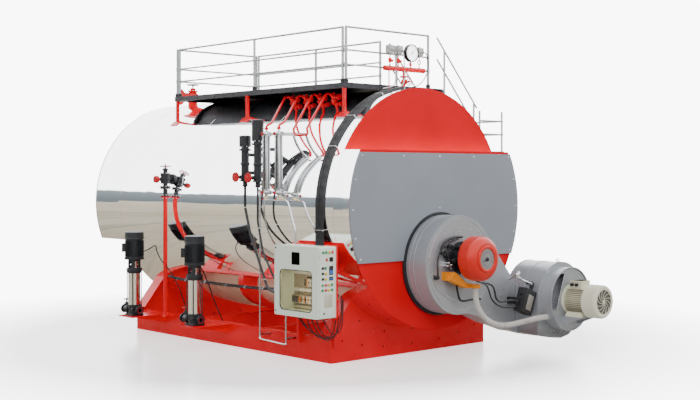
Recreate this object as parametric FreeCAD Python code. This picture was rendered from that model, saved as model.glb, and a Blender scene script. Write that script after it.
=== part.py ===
import FreeCAD, Part
import math
import os

os.makedirs("parts", exist_ok=True)
V = FreeCAD.Vector

# Horizontal fire-tube boiler on a welded skid. Millimetres, +Z up.
# The burner end faces -Y. The pumps and the cabinet stand on the -X side.
# The origin is on the floor, at the centre of the four anchor bolts.

# Skid
skid_length = 5130.0
skid_width = 3270.0
rail_height = 350.0
rail_flange = 130.0
rail_plate = 16.0
anchor_spacing_x = 3140.0
anchor_spacing_y = 4200.0
anchor_hole_r = 13.0
cross_spacing = 1700.0
cross_width = 120.0

# Saddles
saddle_plate = 20.0
saddle_depth = 230.0
saddle_shoulder = 400.0
saddle_reach = 1240.0
saddle_rim = 14.0
saddle_hole_r = 15.0
saddle_lower_holes = [(0, 136), (600, 150), (1030, 210), (1420, 306)]
saddle_upper_holes = [(0, 364), (580, 373), (1080, 564)]

# Boiler body
shell_dia = 3590.0
shell_axis_z = 2200.0
shell_front_y = -2770.0
shell_back_y = 2890.0
shell_wall = 90.0
end_plate = 20.0
front_box_depth = 210.0
front_chord_z = 3045.0
box_wall = 12.0
door_thick = 120.0
cover_thick = 27.0
cover_low_z = 1455.0
cover_top_drop = 35.0
rear_box_depth = 760.0
rear_chord_z = 1540.0
rear_cover_thick = 30.0
seat_gap = 0.3
body_lap = 30.0

# Flue outlet at the back
flue_r = 320.0
flue_wall = 8.0
flue_length = 180.0
flue_z = 3050.0
flue_pcd = 720.0
flue_flange_r = 400.0
flue_bolts = 12
flue_bolt_r = 9.0
flange_thick = 20.0

# Steam outlet on top
steam_x = -520.0
steam_y = 2480.0
steam_nozzle_r = 84.0
steam_bore_r = 65.0
steam_flange_r = 143.0
steam_pcd = 240.0
steam_bolts = 8
steam_bolt_r = 11.0
steam_reach = 260.0
steam_bore_end = 60.0
steam_valve_lift = 60.0
steam_bonnet_r = 45.0
steam_bonnet_height = 170.0
steam_spindle_r = 12.0
steam_spindle_height = 70.0
steam_wheel_r = 110.0
steam_wheel_rim = 11.0

# Burner
burner_x = 0.0
burner_z = 1378.0
opening_r = 760.0
windbox_r = 718.0
windbox_depth = 412.0
windbox_skin = 12.0
seam_rise = 7.0
head_r = 235.0
head_z = 1490.0
head_depth = 200.0
cap_r = 320.0
cap_depth = 300.0
cap_round = 115.0

# Combustion air fan
fan_x = 1840.0
fan_z = 800.0
fan_r = 550.0
fan_back_y = -3310.0
fan_front_y = -3955.0
fan_skin = 10.0
duct_right_x = 1280.0
duct_top_z = 1010.0
duct_low_z = 290.0
duct_inset = 20.0
duct_slope = 1.137
duct_belly = [(737, 470), (380, 610)]
inlet_r = 480.0
inlet_depth = 175.0
inlet_rim = 25.0
inlet_window = [(-130, 400), (-330, -140), (-480, -140), (-480, 400)]
motor_r = 200.0
motor_length = 355.0
cowl_r = 250.0
cowl_depth = 240.0
cowl_round = 40.0
motor_gap = 25.0
motor_box = [110.0, 60.0, 260.0, 95.0]
motor_foot = [175.0, 40.0, 300.0, 45.0]

# Damper servo box
box_x = 1110.0
box_y = -3850.0
box_z = 794.0
box_width = 250.0
box_depth = 150.0
box_height = 360.0
box_tilt = 22.0

# Platform
deck_left = -1130.0
deck_right = 680.0
deck_front = -2320.0
deck_rear = 2150.0
deck_top = 4050.0
deck_plate = 12.0
deck_frame = 80.0
deck_frame_wall = 40.0
rail_tube_r = 21.0
rail_bar_r = 14.0
rail_low = 265.0
rail_mid = 480.0
rail_top = 820.0
rail_foot_r = 34.0
rail_inset = 36.0
post_square = 46.0
post_inset = 60.0
post_middle_back = 170.0
post_pad = 90.0

# Stairs and landing
stair_front = -2310.0
stair_width = 1040.0
stair_nose_x = 950.0
landing_z = 3080.0
stair_steepest = 1.14
landing_gap = 6.0
landing_width = 649.0
landing_thick = 60.0
leg_half = 25.0
leg_inset = 40.0
leg_back = [60.0, 420.0]
tread_thick = 30.0
tread_going = 190.0
upper_rise = 194.0
lower_rise = 220.0
lower_going = 200.0
tread_lap = 20.0
stringer_wall = 12.0
stringer_foot = 220.0
stair_rail_lift = 630.0
stair_rail_apart = 340.0
landing_rail_heights = [280.0, 500.0]
landing_post = 660.0

# Steam header with its gauges
header_z = 4300.0
header_y = -2395.0
header_r = 38.0
header_left = -420.0
header_right = 440.0
header_spindle_r = 8.0
header_wheel_r = 62.0
gauge_x = 140.0
gauge_z = 4555.0
gauge_r = 135.0
gauge_depth = 55.0
instrument_x = [-300.0, -120.0, 330.0]
instrument_z = 4497.0
siphon_r = 8.0

# Water level gear on the left side
level_x = -1944.0
glass_y = [-1480.0, -1770.0]
glass_low = 2330.0
glass_high = 3350.0
chamber_y = [-960.0, -1270.0]
chamber_low = [2530.0, 2520.0]
chamber_high = [3270.0, 3500.0]
chamber_r = 60.0
chamber_cap_r = 90.0

# Thin drain pipes
drain_r = 12.0
drain_standoff = 200.0
drain_y = [-1183.0, -1798.0]
drain_low_z = 235.0
drain_high_z = 2450.0

# Sensing valves under the platform, with their pipes
sensing_x = -810.0
sensing_y = [-720.0, -1050.0, -1380.0, -1700.0]
sensing_r = 18.0
sensing_body_r = 48.0

# Feed water
feed_x = -1890.0
feed_y = 1285.0
feed_r = 35.0
feed_top_z = 2330.0
feed_valve_z = 2615.0
feed_flange_r = 76.0
feed_stem_r = 9.0
feed_wheel_z = 2830.0
feed_wheel_r = 97.0

# Pumps
pump_x = -2170.0
pump_y = [40.0, 1790.0]
pump_base_height = 155.0
pump_sleeve_r = 100.0
pump_sleeve_height = 575.0
pump_lantern_height = 230.0
pump_motor_r = 155.0
pump_motor_height = 420.0
pump_shelf = 420.0
pump_shelf_thick = 20.0
pump_port_z = 90.0
pump_port_r = 38.0
pump_flange_r = 72.0
pump_flange_thick = 18.0
pump_pcd = 110.0
pump_bolt_r = 7.0
pump_port_reach = 160.0
pump_foot_half = 110.0
pump_foot_thick = 28.0
pump_valve_middle = 66.0
pump_stem_r = 9.0
pump_wheel_r = 55.0
pump_wheel_lift = 160.0

# Control cabinet
cabinet_standoff = 155.0
cabinet_depth = 340.0
cabinet_front = -2850.0
cabinet_rear = -1900.0
cabinet_low = 695.0
cabinet_high = 1690.0
cabinet_wall = 15.0
cabinet_door_thick = 30.0
cabinet_round = 22.0
door_gap = 5.0
window_margin = 130.0
window_low = 90.0
window_top_margin = 345.0
window_thick = 8.0
window_round = 60.0
display_half = 85.0
display_drop = 90.0
display_depth = 18.0
hinge_r = 9.0
hinge_inset = 130.0
knuckle = 30.0
knuckle_gap = 2.0
cabinet_post = 60.0
post_low_z = 240.0
post_high_z = 1290.0

# Cable bands round the body
band_y = [-2560.0, -2476.0]
band_width = 76.0
band_thick = 26.0
band_start_x = -60.0
conduit_r = 20.0

# Worked out from the values above
shell_r = shell_dia / 2
skid_front = -skid_length / 2
rail_length = skid_length - 2 * saddle_plate
front_plate_y = shell_front_y - end_plate
box_front_y = front_plate_y - front_box_depth
door_front_y = box_front_y - door_thick
cover_front_y = door_front_y - cover_thick
windbox_front_y = cover_front_y - windbox_depth
rear_plate_y = shell_back_y + end_plate
rear_box_y = rear_plate_y + rear_box_depth
rear_cover_y = rear_box_y + rear_cover_thick
deck_under = deck_top - deck_frame
steam_valve_z = deck_top - body_lap + steam_valve_lift
stair_rear = stair_front + stair_width
tread_inset = stringer_wall + seat_gap
stair_reach = (deck_top - landing_z) / stair_steepest
landing_inner = max(shell_r + landing_gap, skid_width / 2 + landing_gap,
                    stair_nose_x + stair_reach)
landing_outer = landing_inner + landing_width
upper_risers = round((deck_top - landing_z) / upper_rise)
lower_risers = round(landing_z / lower_rise)
stair_slope = (deck_top - landing_z) / (landing_inner - stair_nose_x)
cabinet_right = -skid_width / 2 - cabinet_standoff
cabinet_left = cabinet_right - cabinet_depth
motor_front_y = fan_front_y - inlet_depth - motor_gap


def shell_top(x, radius=shell_r):
    """Height of the round body's surface above the floor, at a place across it."""
    return shell_axis_z + math.sqrt(radius ** 2 - x ** 2)


def shell_under(x, radius=shell_r):
    return shell_axis_z - math.sqrt(radius ** 2 - x ** 2)


# Shapes used by many pieces

def block(x0, x1, y0, y1, z0, z1):
    corner = V(min(x0, x1), min(y0, y1), min(z0, z1))
    return Part.makeBox(abs(x1 - x0), abs(y1 - y0), abs(z1 - z0), corner)


def rod(start, end, radius):
    way = end - start
    return Part.makeCylinder(radius, way.Length, start, way)


def tube(start, end, outer, inner):
    way = end - start
    bore = Part.makeCylinder(inner, way.Length, start, way)
    return rod(start, end, outer).cut(bore)


def join(shapes):
    whole = shapes[0]
    if len(shapes) > 1:
        whole = whole.multiFuse(shapes[1:])
    return whole.removeSplitter()


def group(shapes):
    return Part.makeCompound(shapes)


def plate_xz(points, y0, y1):
    """Plate with a straight-sided outline in the XZ plane, from y0 to y1."""
    ring = [V(x, y0, z) for x, z in points]
    face = Part.Face(Part.makePolygon(ring + [ring[0]]))
    return face.extrude(V(0, y1 - y0, 0))


def along_y(x, z, y0, y1, radius):
    return rod(V(x, y0, z), V(x, y1, z), radius)


def along_z(x, y, z0, z1, radius):
    return rod(V(x, y, z0), V(x, y, z1), radius)


def along_x(y, z, x0, x1, radius):
    return rod(V(x0, y, z), V(x1, y, z), radius)


def mirror_y(shape):
    return shape.mirror(V(0, 0, 0), V(0, 1, 0))


def mirror_x(shape):
    return shape.mirror(V(0, 0, 0), V(1, 0, 0))


def arc_radius(before, corner, after, bend):
    """Bend radius at a corner, as large as its two runs allow when none is given."""
    into = corner - before
    out = after - corner
    turn = into.getAngle(out)
    room = 0.45 * min(into.Length, out.Length) / math.tan(turn / 2)
    if bend is None:
        return room
    return min(bend, room)


def bent_pipe(points, radius, bend=None):
    """Round pipe through the points, with straight runs joined by tangent arcs."""
    edges = []
    start = points[0]
    for i in range(1, len(points) - 1):
        corner = points[i]
        into = (corner - points[i - 1]).normalize()
        out = (points[i + 1] - corner).normalize()
        half = into.getAngle(out) / 2
        size = arc_radius(points[i - 1], corner, points[i + 1], bend)
        first = corner - into * (size * math.tan(half))
        last = corner + out * (size * math.tan(half))
        inward = (out - into).normalize()
        middle = corner + inward * (size / math.cos(half) - size)
        edges.append(Part.LineSegment(start, first).toShape())
        edges.append(Part.Arc(first, middle, last).toShape())
        start = last
    edges.append(Part.LineSegment(start, points[-1]).toShape())
    circle = Part.makeCircle(radius, points[0], points[1] - points[0])
    return Part.Wire(edges).makePipeShell([Part.Wire(circle)], True, False)


def flange(centre, way, radius, thick, pcd, count, hole_r, bore_r=0.0):
    """Round flange with a ring of bolt holes, its back face at the centre point."""
    ring = Part.makeCylinder(radius, thick, V(0, 0, 0), V(0, 0, 1))
    if bore_r:
        ring = ring.cut(Part.makeCylinder(bore_r, thick, V(0, 0, 0), V(0, 0, 1)))
    for i in range(count):
        angle = 2 * math.pi * (i + 0.5) / count
        place = V(pcd / 2 * math.cos(angle), pcd / 2 * math.sin(angle), 0)
        ring = ring.cut(Part.makeCylinder(hole_r, thick, place, V(0, 0, 1)))
    turn = FreeCAD.Rotation(V(0, 0, 1), way)
    ring.Placement = FreeCAD.Placement(centre, turn)
    return ring


def handwheel(centre, way, radius, rim, spokes, hub_r, hub_height, bore_r=0.0):
    """Handwheel about an axis: a round rim, its spokes and a hub."""
    pieces = [Part.makeTorus(radius - rim, rim, V(0, 0, 0), V(0, 0, 1))]
    for i in range(spokes):
        angle = 2 * math.pi * i / spokes
        end = V((radius - rim) * math.cos(angle), (radius - rim) * math.sin(angle), 0)
        pieces.append(rod(V(0, 0, 0), end, rim * 0.7))
    pieces.append(along_z(0, 0, -hub_height / 2, hub_height / 2, hub_r))
    wheel = join(pieces)
    if bore_r:
        wheel = wheel.cut(along_z(0, 0, -hub_height, hub_height, bore_r))
    turn = FreeCAD.Rotation(V(0, 0, 1), way)
    wheel.Placement = FreeCAD.Placement(centre, turn)
    return wheel


def round_segment(radius, y0, y1, chord_z, keep_low):
    """Disc of the round body cut along a level chord, keeping one side of it."""
    disc = along_y(0, shell_axis_z, y0, y1, radius)
    if keep_low:
        keep = block(-radius, radius, y0, y1, shell_axis_z - radius, chord_z)
    else:
        keep = block(-radius, radius, y0, y1, chord_z, shell_axis_z + radius)
    return disc.common(keep)


# Skid

def skid_rail():
    """Left rail: a channel with its web outwards and anchor holes below."""
    x0 = -skid_width / 2
    y0 = -rail_length / 2
    y1 = rail_length / 2
    web = block(x0, x0 + rail_plate, y0, y1, 0, rail_height)
    low = block(x0, x0 + rail_flange, y0, y1, 0, rail_plate)
    top = block(x0, x0 + rail_flange, y0, y1, rail_height - rail_plate, rail_height)
    rail = join([web, low, top])
    for side in (-1, 1):
        y = side * anchor_spacing_y / 2
        rail = rail.cut(along_z(-anchor_spacing_x / 2, y, 0, rail_plate, anchor_hole_r))
    return rail


def cross_members():
    """Two hollow cross members between the webs of the rails."""
    reach = skid_width / 2 - rail_plate
    low = rail_plate
    high = rail_height - rail_plate
    bars = []
    for side in (-1, 1):
        y = side * cross_spacing / 2
        outer = block(-reach, reach, y - cross_width / 2, y + cross_width / 2, low, high)
        inner = block(-reach, reach, y - cross_width / 2 + rail_plate,
                      y + cross_width / 2 - rail_plate, low + rail_plate, high - rail_plate)
        bars.append(outer.cut(inner))
    return group(bars)


def saddle():
    """Front saddle: an end plate with sloped shoulders, and a rim behind it."""
    half = skid_width / 2
    peak = shell_under(saddle_reach)
    y0 = skid_front
    y1 = y0 + saddle_plate
    y2 = y1 + saddle_depth
    outline = [(-half, 0), (half, 0), (half, saddle_shoulder), (saddle_reach, peak),
               (-saddle_reach, peak), (-half, saddle_shoulder)]
    plate = plate_xz(outline, y0, y1)
    length = math.hypot(half - saddle_reach, peak - saddle_shoulder)
    drop_x = saddle_rim * (peak - saddle_shoulder) / length
    drop_z = saddle_rim * (half - saddle_reach) / length
    strip = plate_xz([(-half, saddle_shoulder), (-saddle_reach, peak),
                      (-saddle_reach + drop_x, peak - drop_z),
                      (-half + drop_x, saddle_shoulder - drop_z)], y0, y2)
    cradle_r = shell_r + seat_gap
    cradle = tube(V(0, y0, shell_axis_z), V(0, y2, shell_axis_z),
                  cradle_r + saddle_rim, cradle_r)
    cradle = cradle.common(block(-saddle_reach, saddle_reach, y0, y2, 0, peak))
    whole = join([plate, strip, mirror_x(strip), cradle])
    whole = whole.cut(along_y(0, shell_axis_z, y0, y2, cradle_r))
    for x, z in saddle_lower_holes + saddle_upper_holes:
        for side in ((1,) if x == 0 else (-1, 1)):
            whole = whole.cut(along_y(side * x, z, y0, y1, saddle_hole_r))
    return whole


# Boiler body

def shell():
    """Clad round body, open at both ends."""
    return tube(V(0, shell_front_y, shell_axis_z), V(0, shell_back_y, shell_axis_z),
                shell_r, shell_r - shell_wall)


def front_box():
    """Box behind the front doors: a round side wall under a flat top."""
    y0 = box_front_y
    y1 = front_plate_y
    outer = round_segment(shell_r, y0, y1, front_chord_z, True)
    inner = round_segment(shell_r - box_wall, y0, y1, front_chord_z - box_wall, True)
    return outer.cut(inner)


def front_door():
    """Thick lower door, with the opening for the burner."""
    door = round_segment(shell_r, door_front_y, box_front_y, front_chord_z, True)
    return door.cut(along_y(burner_x, burner_z, door_front_y, box_front_y, opening_r))


def front_cover():
    """Flat cover sheet on the door, cut round the burner."""
    sheet = round_segment(shell_r, cover_front_y, door_front_y,
                          front_chord_z - cover_top_drop, True)
    low = block(-shell_r, shell_r, cover_front_y, door_front_y, 0, cover_low_z)
    sheet = sheet.cut(low)
    return sheet.cut(along_y(burner_x, burner_z, cover_front_y, door_front_y, opening_r))


def rear_box():
    """Rear smoke box: round over the top with a flat floor."""
    outer = round_segment(shell_r, rear_plate_y, rear_box_y, rear_chord_z, False)
    inner = round_segment(shell_r - box_wall, rear_plate_y, rear_box_y,
                          rear_chord_z + box_wall, False)
    return outer.cut(inner)


def rear_cover():
    """Back cover of the smoke box, with the hole for the flue."""
    cover = round_segment(shell_r, rear_box_y, rear_cover_y, rear_chord_z, False)
    return cover.cut(along_y(0, flue_z, rear_box_y, rear_cover_y, flue_r))


def flue_outlet():
    """Flue collar with a drilled flange on its end."""
    y1 = rear_cover_y + flue_length
    collar = tube(V(0, rear_box_y, flue_z), V(0, y1, flue_z), flue_r - seat_gap,
                  flue_r - flue_wall)
    ring = flange(V(0, y1 - flange_thick, flue_z), V(0, 1, 0), flue_flange_r,
                  flange_thick, flue_pcd, flue_bolts, flue_bolt_r, flue_r - flue_wall)
    return join([collar, ring])


def steam_outlet():
    """Steam nozzle on top of the body, with a stop valve and a drilled flange."""
    low = shell_top(steam_x) - body_lap
    z = steam_valve_z
    left = steam_x - steam_reach
    bonnet_z = z + steam_bonnet_height
    top = bonnet_z + steam_spindle_height
    nozzle = along_z(steam_x, steam_y, low, z - steam_valve_lift, steam_nozzle_r)
    body = Part.makeSphere(steam_nozzle_r * 1.35, V(steam_x, steam_y, z))
    arm = along_x(steam_y, z, left, steam_x, steam_nozzle_r)
    end = flange(V(left, steam_y, z), V(-1, 0, 0), steam_flange_r, flange_thick, steam_pcd,
                 steam_bolts, steam_bolt_r, steam_bore_r)
    bonnet = along_z(steam_x, steam_y, z, bonnet_z, steam_bonnet_r)
    spindle = along_z(steam_x, steam_y, bonnet_z, top, steam_spindle_r)
    wheel = handwheel(V(steam_x, steam_y, top - 10), V(0, 0, 1), steam_wheel_r,
                      steam_wheel_rim, 4, 20, 26)
    bore = along_x(steam_y, z, left, steam_x - steam_bore_end, steam_bore_r)
    valve = join([nozzle, body, arm, bonnet, spindle, wheel]).cut(bore)
    valve = join([valve, end])
    return valve.cut(along_y(0, shell_axis_z, shell_front_y, shell_back_y,
                             shell_r + seat_gap))


# Burner

def burner_ring():
    """Dark seal ring between the burner opening and the windbox."""
    return tube(V(burner_x, box_front_y, burner_z), V(burner_x, cover_front_y - 14, burner_z),
                opening_r - seat_gap, windbox_r + seat_gap)


def seam_y():
    return cover_front_y - windbox_depth * 0.36


def windbox():
    """Round windbox: a closed drum with a rolled rim at each end."""
    x = burner_x
    z = burner_z
    drum = along_y(x, z, box_front_y, windbox_front_y, windbox_r)
    core = along_y(x, z, box_front_y + windbox_skin, windbox_front_y + windbox_skin,
                   windbox_r - windbox_skin)
    seam = along_y(x, z, seam_y(), seam_y() - windbox_skin, windbox_r + seam_rise)
    return join([drum, seam]).cut(core)


def burner_head():
    """Firing head behind the cap: stepped round body standing on the windbox."""
    y0 = windbox_front_y
    neck = along_y(burner_x, head_z, y0, y0 - head_depth, head_r * 0.75)
    base = along_y(burner_x, head_z, y0, y0 - 35, head_r)
    collar = along_y(burner_x, head_z, y0 - head_depth + 60, y0 - head_depth, head_r * 0.9)
    return join([neck, base, collar])


def burner_cap():
    """Rounded cap over the burner's end."""
    y0 = windbox_front_y - head_depth
    cap = along_y(burner_x, head_z, y0, y0 - cap_depth, cap_r)
    front = [edge for edge in cap.Edges if abs(edge.BoundBox.YMax - (y0 - cap_depth)) < 1]
    cap = cap.makeFillet(cap_round, front)
    back = [edge for edge in cap.Edges
            if abs(edge.BoundBox.YMin - y0) < 1 and abs(edge.BoundBox.YMax - y0) < 1]
    return cap.makeFillet(cap_round / 2, back)


def burner_bracket():
    """Cast arm from the windbox to the air hose, under the cap."""
    y0 = windbox_front_y
    foot = block(-400, -340, y0, y0 - 90, 1180, 1300)
    arm = plate_xz([(-400, 1190), (-310, 1300), (-60, 1130), (130, 1110), (130, 1060),
                    (-80, 1060)], y0 - 60, y0 - 180)
    cup = along_z(60, y0 - 230, 1060, 1110, 75)
    link = block(0, 120, y0 - 120, y0 - 230, 1060, 1100)
    return join([foot, arm, link, cup])


hose_points = [V(60, -3789, 1060), V(60, -3789, 912), V(103, -3797, 772),
               V(186, -3812, 648), V(301, -3835, 556), V(441, -3862, 500),
               V(602, -3893, 480), V(802, -3934, 496), V(1000, -3983, 526),
               V(1190, -4020, 553), V(1400, -4020, 553)]
hose_r = 43.0


def air_hose():
    """Ribbed air hose from the burner bracket to the fan."""
    return bent_pipe(hose_points, hose_r)


# Fan

def air_duct():
    """Sheet duct that leaves the windbox along a tangent and falls to the fan."""
    y0 = cover_front_y - duct_inset
    y1 = windbox_front_y + duct_inset
    slope = math.atan(duct_slope)
    top_x = burner_x + windbox_r * math.sin(slope)
    top_z = burner_z + windbox_r * math.cos(slope)
    outline = [(top_x, top_z), (duct_right_x, duct_top_z), (duct_right_x, duct_low_z),
               *duct_belly, (120, 672), (burner_x, burner_z)]
    duct = plate_xz(outline, y0, y1)
    inner = [(x, z + 16) for x, z in duct_belly]
    core = plate_xz([(top_x - 10, top_z - 40), (duct_right_x, duct_top_z - 14),
                     (duct_right_x, duct_low_z + 14), *inner,
                     (burner_x, burner_z)], y0 - fan_skin, y1 + fan_skin)
    drum = along_y(burner_x, burner_z, y0, y1, windbox_r + seat_gap)
    seam = along_y(burner_x, burner_z, seam_y() + seat_gap, seam_y() - windbox_skin - seat_gap,
                   windbox_r + seam_rise + seat_gap)
    return duct.cut(core).cut(drum).cut(seam)


def fan_casing():
    """Fan scroll: a drum with an outlet neck towards the duct, hollow inside."""
    y0 = fan_back_y
    y1 = fan_front_y
    x = fan_x
    neck_y = cover_front_y - duct_inset
    neck_y1 = windbox_front_y + duct_inset
    neck_x = duct_right_x + seat_gap
    drum = along_y(x, fan_z, y0, y1, fan_r)
    belly = plate_xz([(neck_x, duct_low_z), (x - 250, 215), (x, 187), (x + 200, 225),
                      (x + 440, 400), (x, fan_z), (neck_x, fan_z)], y0, y1)
    neck = block(neck_x, x - 150, neck_y, neck_y1, duct_low_z, duct_top_z)
    core = along_y(x, fan_z, y0 - fan_skin, y1 + fan_skin, fan_r - fan_skin)
    mouth = block(neck_x, x - 150, neck_y - fan_skin, neck_y1 + fan_skin,
                  duct_low_z + fan_skin, duct_top_z - fan_skin)
    eye = along_y(x, fan_z, y1, y1 + 2 * fan_skin, inlet_r * 0.62)
    lug = Part.makeTorus(24, 7, V(x, y1 + 60, fan_z + fan_r + 24), V(1, 0, 0))
    end = hose_points[-1]
    socket = along_x(end.y, end.z, end.x + seat_gap, end.x + 60, hose_r * 1.2)
    stand = block(end.x + 5, end.x + 55, end.y, y1 + fan_skin / 2, end.z - 33, end.z + 33)
    hood = along_y(x, fan_z, y1, y1 - inlet_depth, inlet_r + seat_gap)
    socket = join([socket, stand]).cut(hood)
    return join([drum, belly, neck, lug, socket]).cut(join([core, mouth, eye]))


def fan_inlet():
    """Inlet hood in front of the fan, open at the upper left of its front plate."""
    y0 = fan_front_y
    y1 = y0 - inlet_depth
    hood = tube(V(fan_x, y0, fan_z), V(fan_x, y1, fan_z), inlet_r, inlet_r - fan_skin)
    back = along_y(fan_x, fan_z, y1 + fan_skin, y1, inlet_r)
    outline = [(fan_x + x, fan_z + z) for x, z in inlet_window]
    window = plate_xz(outline, y1 - fan_skin, y1 + 2 * fan_skin)
    round_edge = along_y(fan_x, fan_z, y1 - fan_skin, y1 + 2 * fan_skin, inlet_r - inlet_rim)
    return join([hood, back]).cut(window.common(round_edge))


def fan_motor():
    """Fan motor on its feet, with the terminal box on top."""
    y0 = motor_front_y
    y1 = y0 - motor_length
    body = along_y(fan_x, fan_z, y0, y1, motor_r)
    nose = along_y(fan_x, fan_z, y0 + motor_gap - seat_gap, y0, motor_r * 1.1)
    half, near, far, rise = motor_box
    box = block(fan_x - half, fan_x + half, y0 - near, y0 - far, fan_z + motor_r - 30,
                fan_z + motor_r + rise)
    half, near, far, drop = motor_foot
    foot = block(fan_x - half, fan_x + half, y0 - near, y0 - far, fan_z - motor_r - drop,
                 fan_z - motor_r + 30)
    return join([body, nose, box, foot])


def fan_cowl():
    """Plain cowl over the motor's own fan, with a rounded front rim."""
    y0 = motor_front_y - motor_length
    y1 = y0 - cowl_depth
    cowl = along_y(fan_x, fan_z, y0, y1, cowl_r)
    front = [edge for edge in cowl.Edges if abs(edge.BoundBox.YMax - y1) < 1]
    return cowl.makeFillet(cowl_round, front)


def motor_bracket():
    """Angle bracket that carries the motor's feet from the inlet hood."""
    top = fan_z - motor_r - motor_foot[3] - seat_gap
    y0 = fan_front_y - inlet_depth + fan_skin / 2
    y1 = motor_front_y - 320
    shelf = block(fan_x - 200, fan_x + 200, y0, y1, top - 14, top)
    pieces = [shelf]
    for side in (-1, 1):
        x = fan_x + side * 194
        ring = [V(x - 6, y0, top - 14), V(x - 6, y1, top - 14), V(x - 6, y0, top - 150)]
        pieces.append(Part.Face(Part.makePolygon(ring + [ring[0]])).extrude(V(12, 0, 0)))
    return join(pieces)


def control_box():
    """Black servo box, tilted, on a stand-off from the duct, with its damper arm."""
    depth = box_depth / 2
    box = block(-box_width / 2, box_width / 2, -depth, depth, -box_height / 2, box_height / 2)
    arm = block(40, 80, -20, 20, box_height / 2 - 5, box_height / 2 + 130)
    joint = rod(V(60, 0, box_height / 2 + 130), V(60, 110, box_height / 2 + 130), 24)
    whole = join([box, arm, joint])
    turn = FreeCAD.Rotation(V(0, 1, 0), box_tilt)
    whole.Placement = FreeCAD.Placement(V(box_x, box_y, box_z), turn)
    stand = block(box_x - 50, box_x + 50, box_y + depth - 5,
                  windbox_front_y + duct_inset - seat_gap, box_z - 50, box_z + 50)
    return join([whole, stand])


# Platform

def platform_deck():
    """Deck plate on an edge frame with two bearers."""
    x0 = deck_left
    x1 = deck_right
    plate = block(x0, x1, deck_front, deck_rear, deck_top - deck_plate, deck_top)
    wall = deck_frame_wall
    rim = block(x0, x1, deck_front, deck_rear, deck_under, deck_top - deck_plate)
    rim = rim.cut(block(x0 + wall, x1 - wall, deck_front + wall, deck_rear - wall,
                        deck_under, deck_top))
    bearers = []
    for share in (1 / 3, 2 / 3):
        y = deck_front + share * (deck_rear - deck_front)
        bearers.append(block(x0, x1, y - wall / 2, y + wall / 2, deck_under,
                             deck_top - deck_plate))
    sill = block(x1, stair_nose_x, stair_front, stair_rear, deck_top - deck_plate, deck_top)
    edge = block(stair_nose_x - wall, stair_nose_x, stair_front, stair_rear,
                 deck_top - 60, deck_top)
    deck = join([plate, rim, sill, edge] + bearers)
    return deck.cut(along_y(0, shell_axis_z, deck_front, deck_rear, shell_r + seat_gap))


def platform_posts():
    """Square posts that stand on the round body and carry the deck."""
    middle = (deck_front + deck_rear) / 2 + post_middle_back
    ys = [deck_front + post_inset, middle, deck_rear - post_inset]
    half = post_square / 2
    pad = post_pad
    posts = []
    for x in (deck_left + half, deck_right - half):
        for y in ys:
            low = min(shell_top(x - half), shell_top(x + half)) - body_lap
            post = block(x - half, x + half, y - half, y + half, low, deck_under - seat_gap)
            foot = block(x - pad, x + pad, y - pad, y + pad, low - 60, shell_top(x) + 8)
            skin = along_y(0, shell_axis_z, y - pad, y + pad, shell_r + 12)
            post = join([post, foot.common(skin)])
            posts.append(post.cut(along_y(0, shell_axis_z, y - pad - 10, y + pad + 10,
                                          shell_r + seat_gap)))
    return group(posts)


def railing_panel(start, end, posts, top, heights, foot_z):
    """Tube railing between two posts: posts at given shares, bars at given heights."""
    way = end - start
    pieces = []
    for share in posts:
        place = start + way * share
        pieces.append(along_z(place.x, place.y, foot_z, foot_z + top, rail_tube_r))
        pieces.append(along_z(place.x, place.y, foot_z, foot_z + 45, rail_foot_r))
    for height in heights:
        lift = V(0, 0, foot_z + height)
        pieces.append(rod(start + lift, end + lift, rail_bar_r))
    lift = V(0, 0, foot_z + top)
    pieces.append(rod(start + lift, end + lift, rail_tube_r * 0.8))
    for place in (start, end):
        pieces.append(Part.makeSphere(rail_tube_r, place + lift))
    return join(pieces)


def railings():
    """The four railing panels round the deck, each clear of the next."""
    x0 = deck_left + rail_inset
    x1 = deck_right - rail_inset
    y0 = deck_front + rail_inset
    y1 = deck_rear - rail_inset
    step = 2 * rail_foot_r + 4
    heights = [rail_low, rail_mid]
    foot = deck_top + seat_gap
    left = railing_panel(V(x0, y0 + step, 0), V(x0, y1 - step, 0), (0, 0.5, 1),
                         rail_top, heights, foot)
    front = railing_panel(V(x0, y0, 0), V(x1, y0, 0), (0, 1), rail_top, heights, foot)
    rear = railing_panel(V(x0, y1, 0), V(x1, y1, 0), (0, 1), rail_top, heights, foot)
    right = railing_panel(V(x1, stair_rear + step, 0), V(x1, y1 - step, 0), (0, 0.5, 1),
                          rail_top, heights, foot)
    return {"railing_left": left, "railing_front": front, "railing_rear": rear,
            "railing_right": right}


# Stairs

def stair_upper():
    """Upper flight: two side plates and the treads between them."""
    rise = (deck_top - landing_z) / upper_risers
    run = rise / stair_slope
    inner = landing_inner
    pieces = []
    for y in (stair_front, stair_rear - stringer_wall):
        ring = [V(stair_nose_x, y, deck_top - 60), V(stair_nose_x, y, deck_top),
                V(inner, y, landing_z), V(inner, y, landing_z - landing_thick),
                V(inner - 60, y, landing_z - landing_thick)]
        face = Part.Face(Part.makePolygon(ring + [ring[0]]))
        pieces.append(face.extrude(V(0, stringer_wall, 0)))
    for i in range(1, upper_risers):
        x = stair_nose_x + i * run
        z = deck_top - i * rise
        pieces.append(block(x - tread_going * 0.3, x + tread_going * 0.7,
                            stair_front + tread_inset, stair_rear - tread_inset,
                            z - tread_thick, z))
    return group(pieces)


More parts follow.
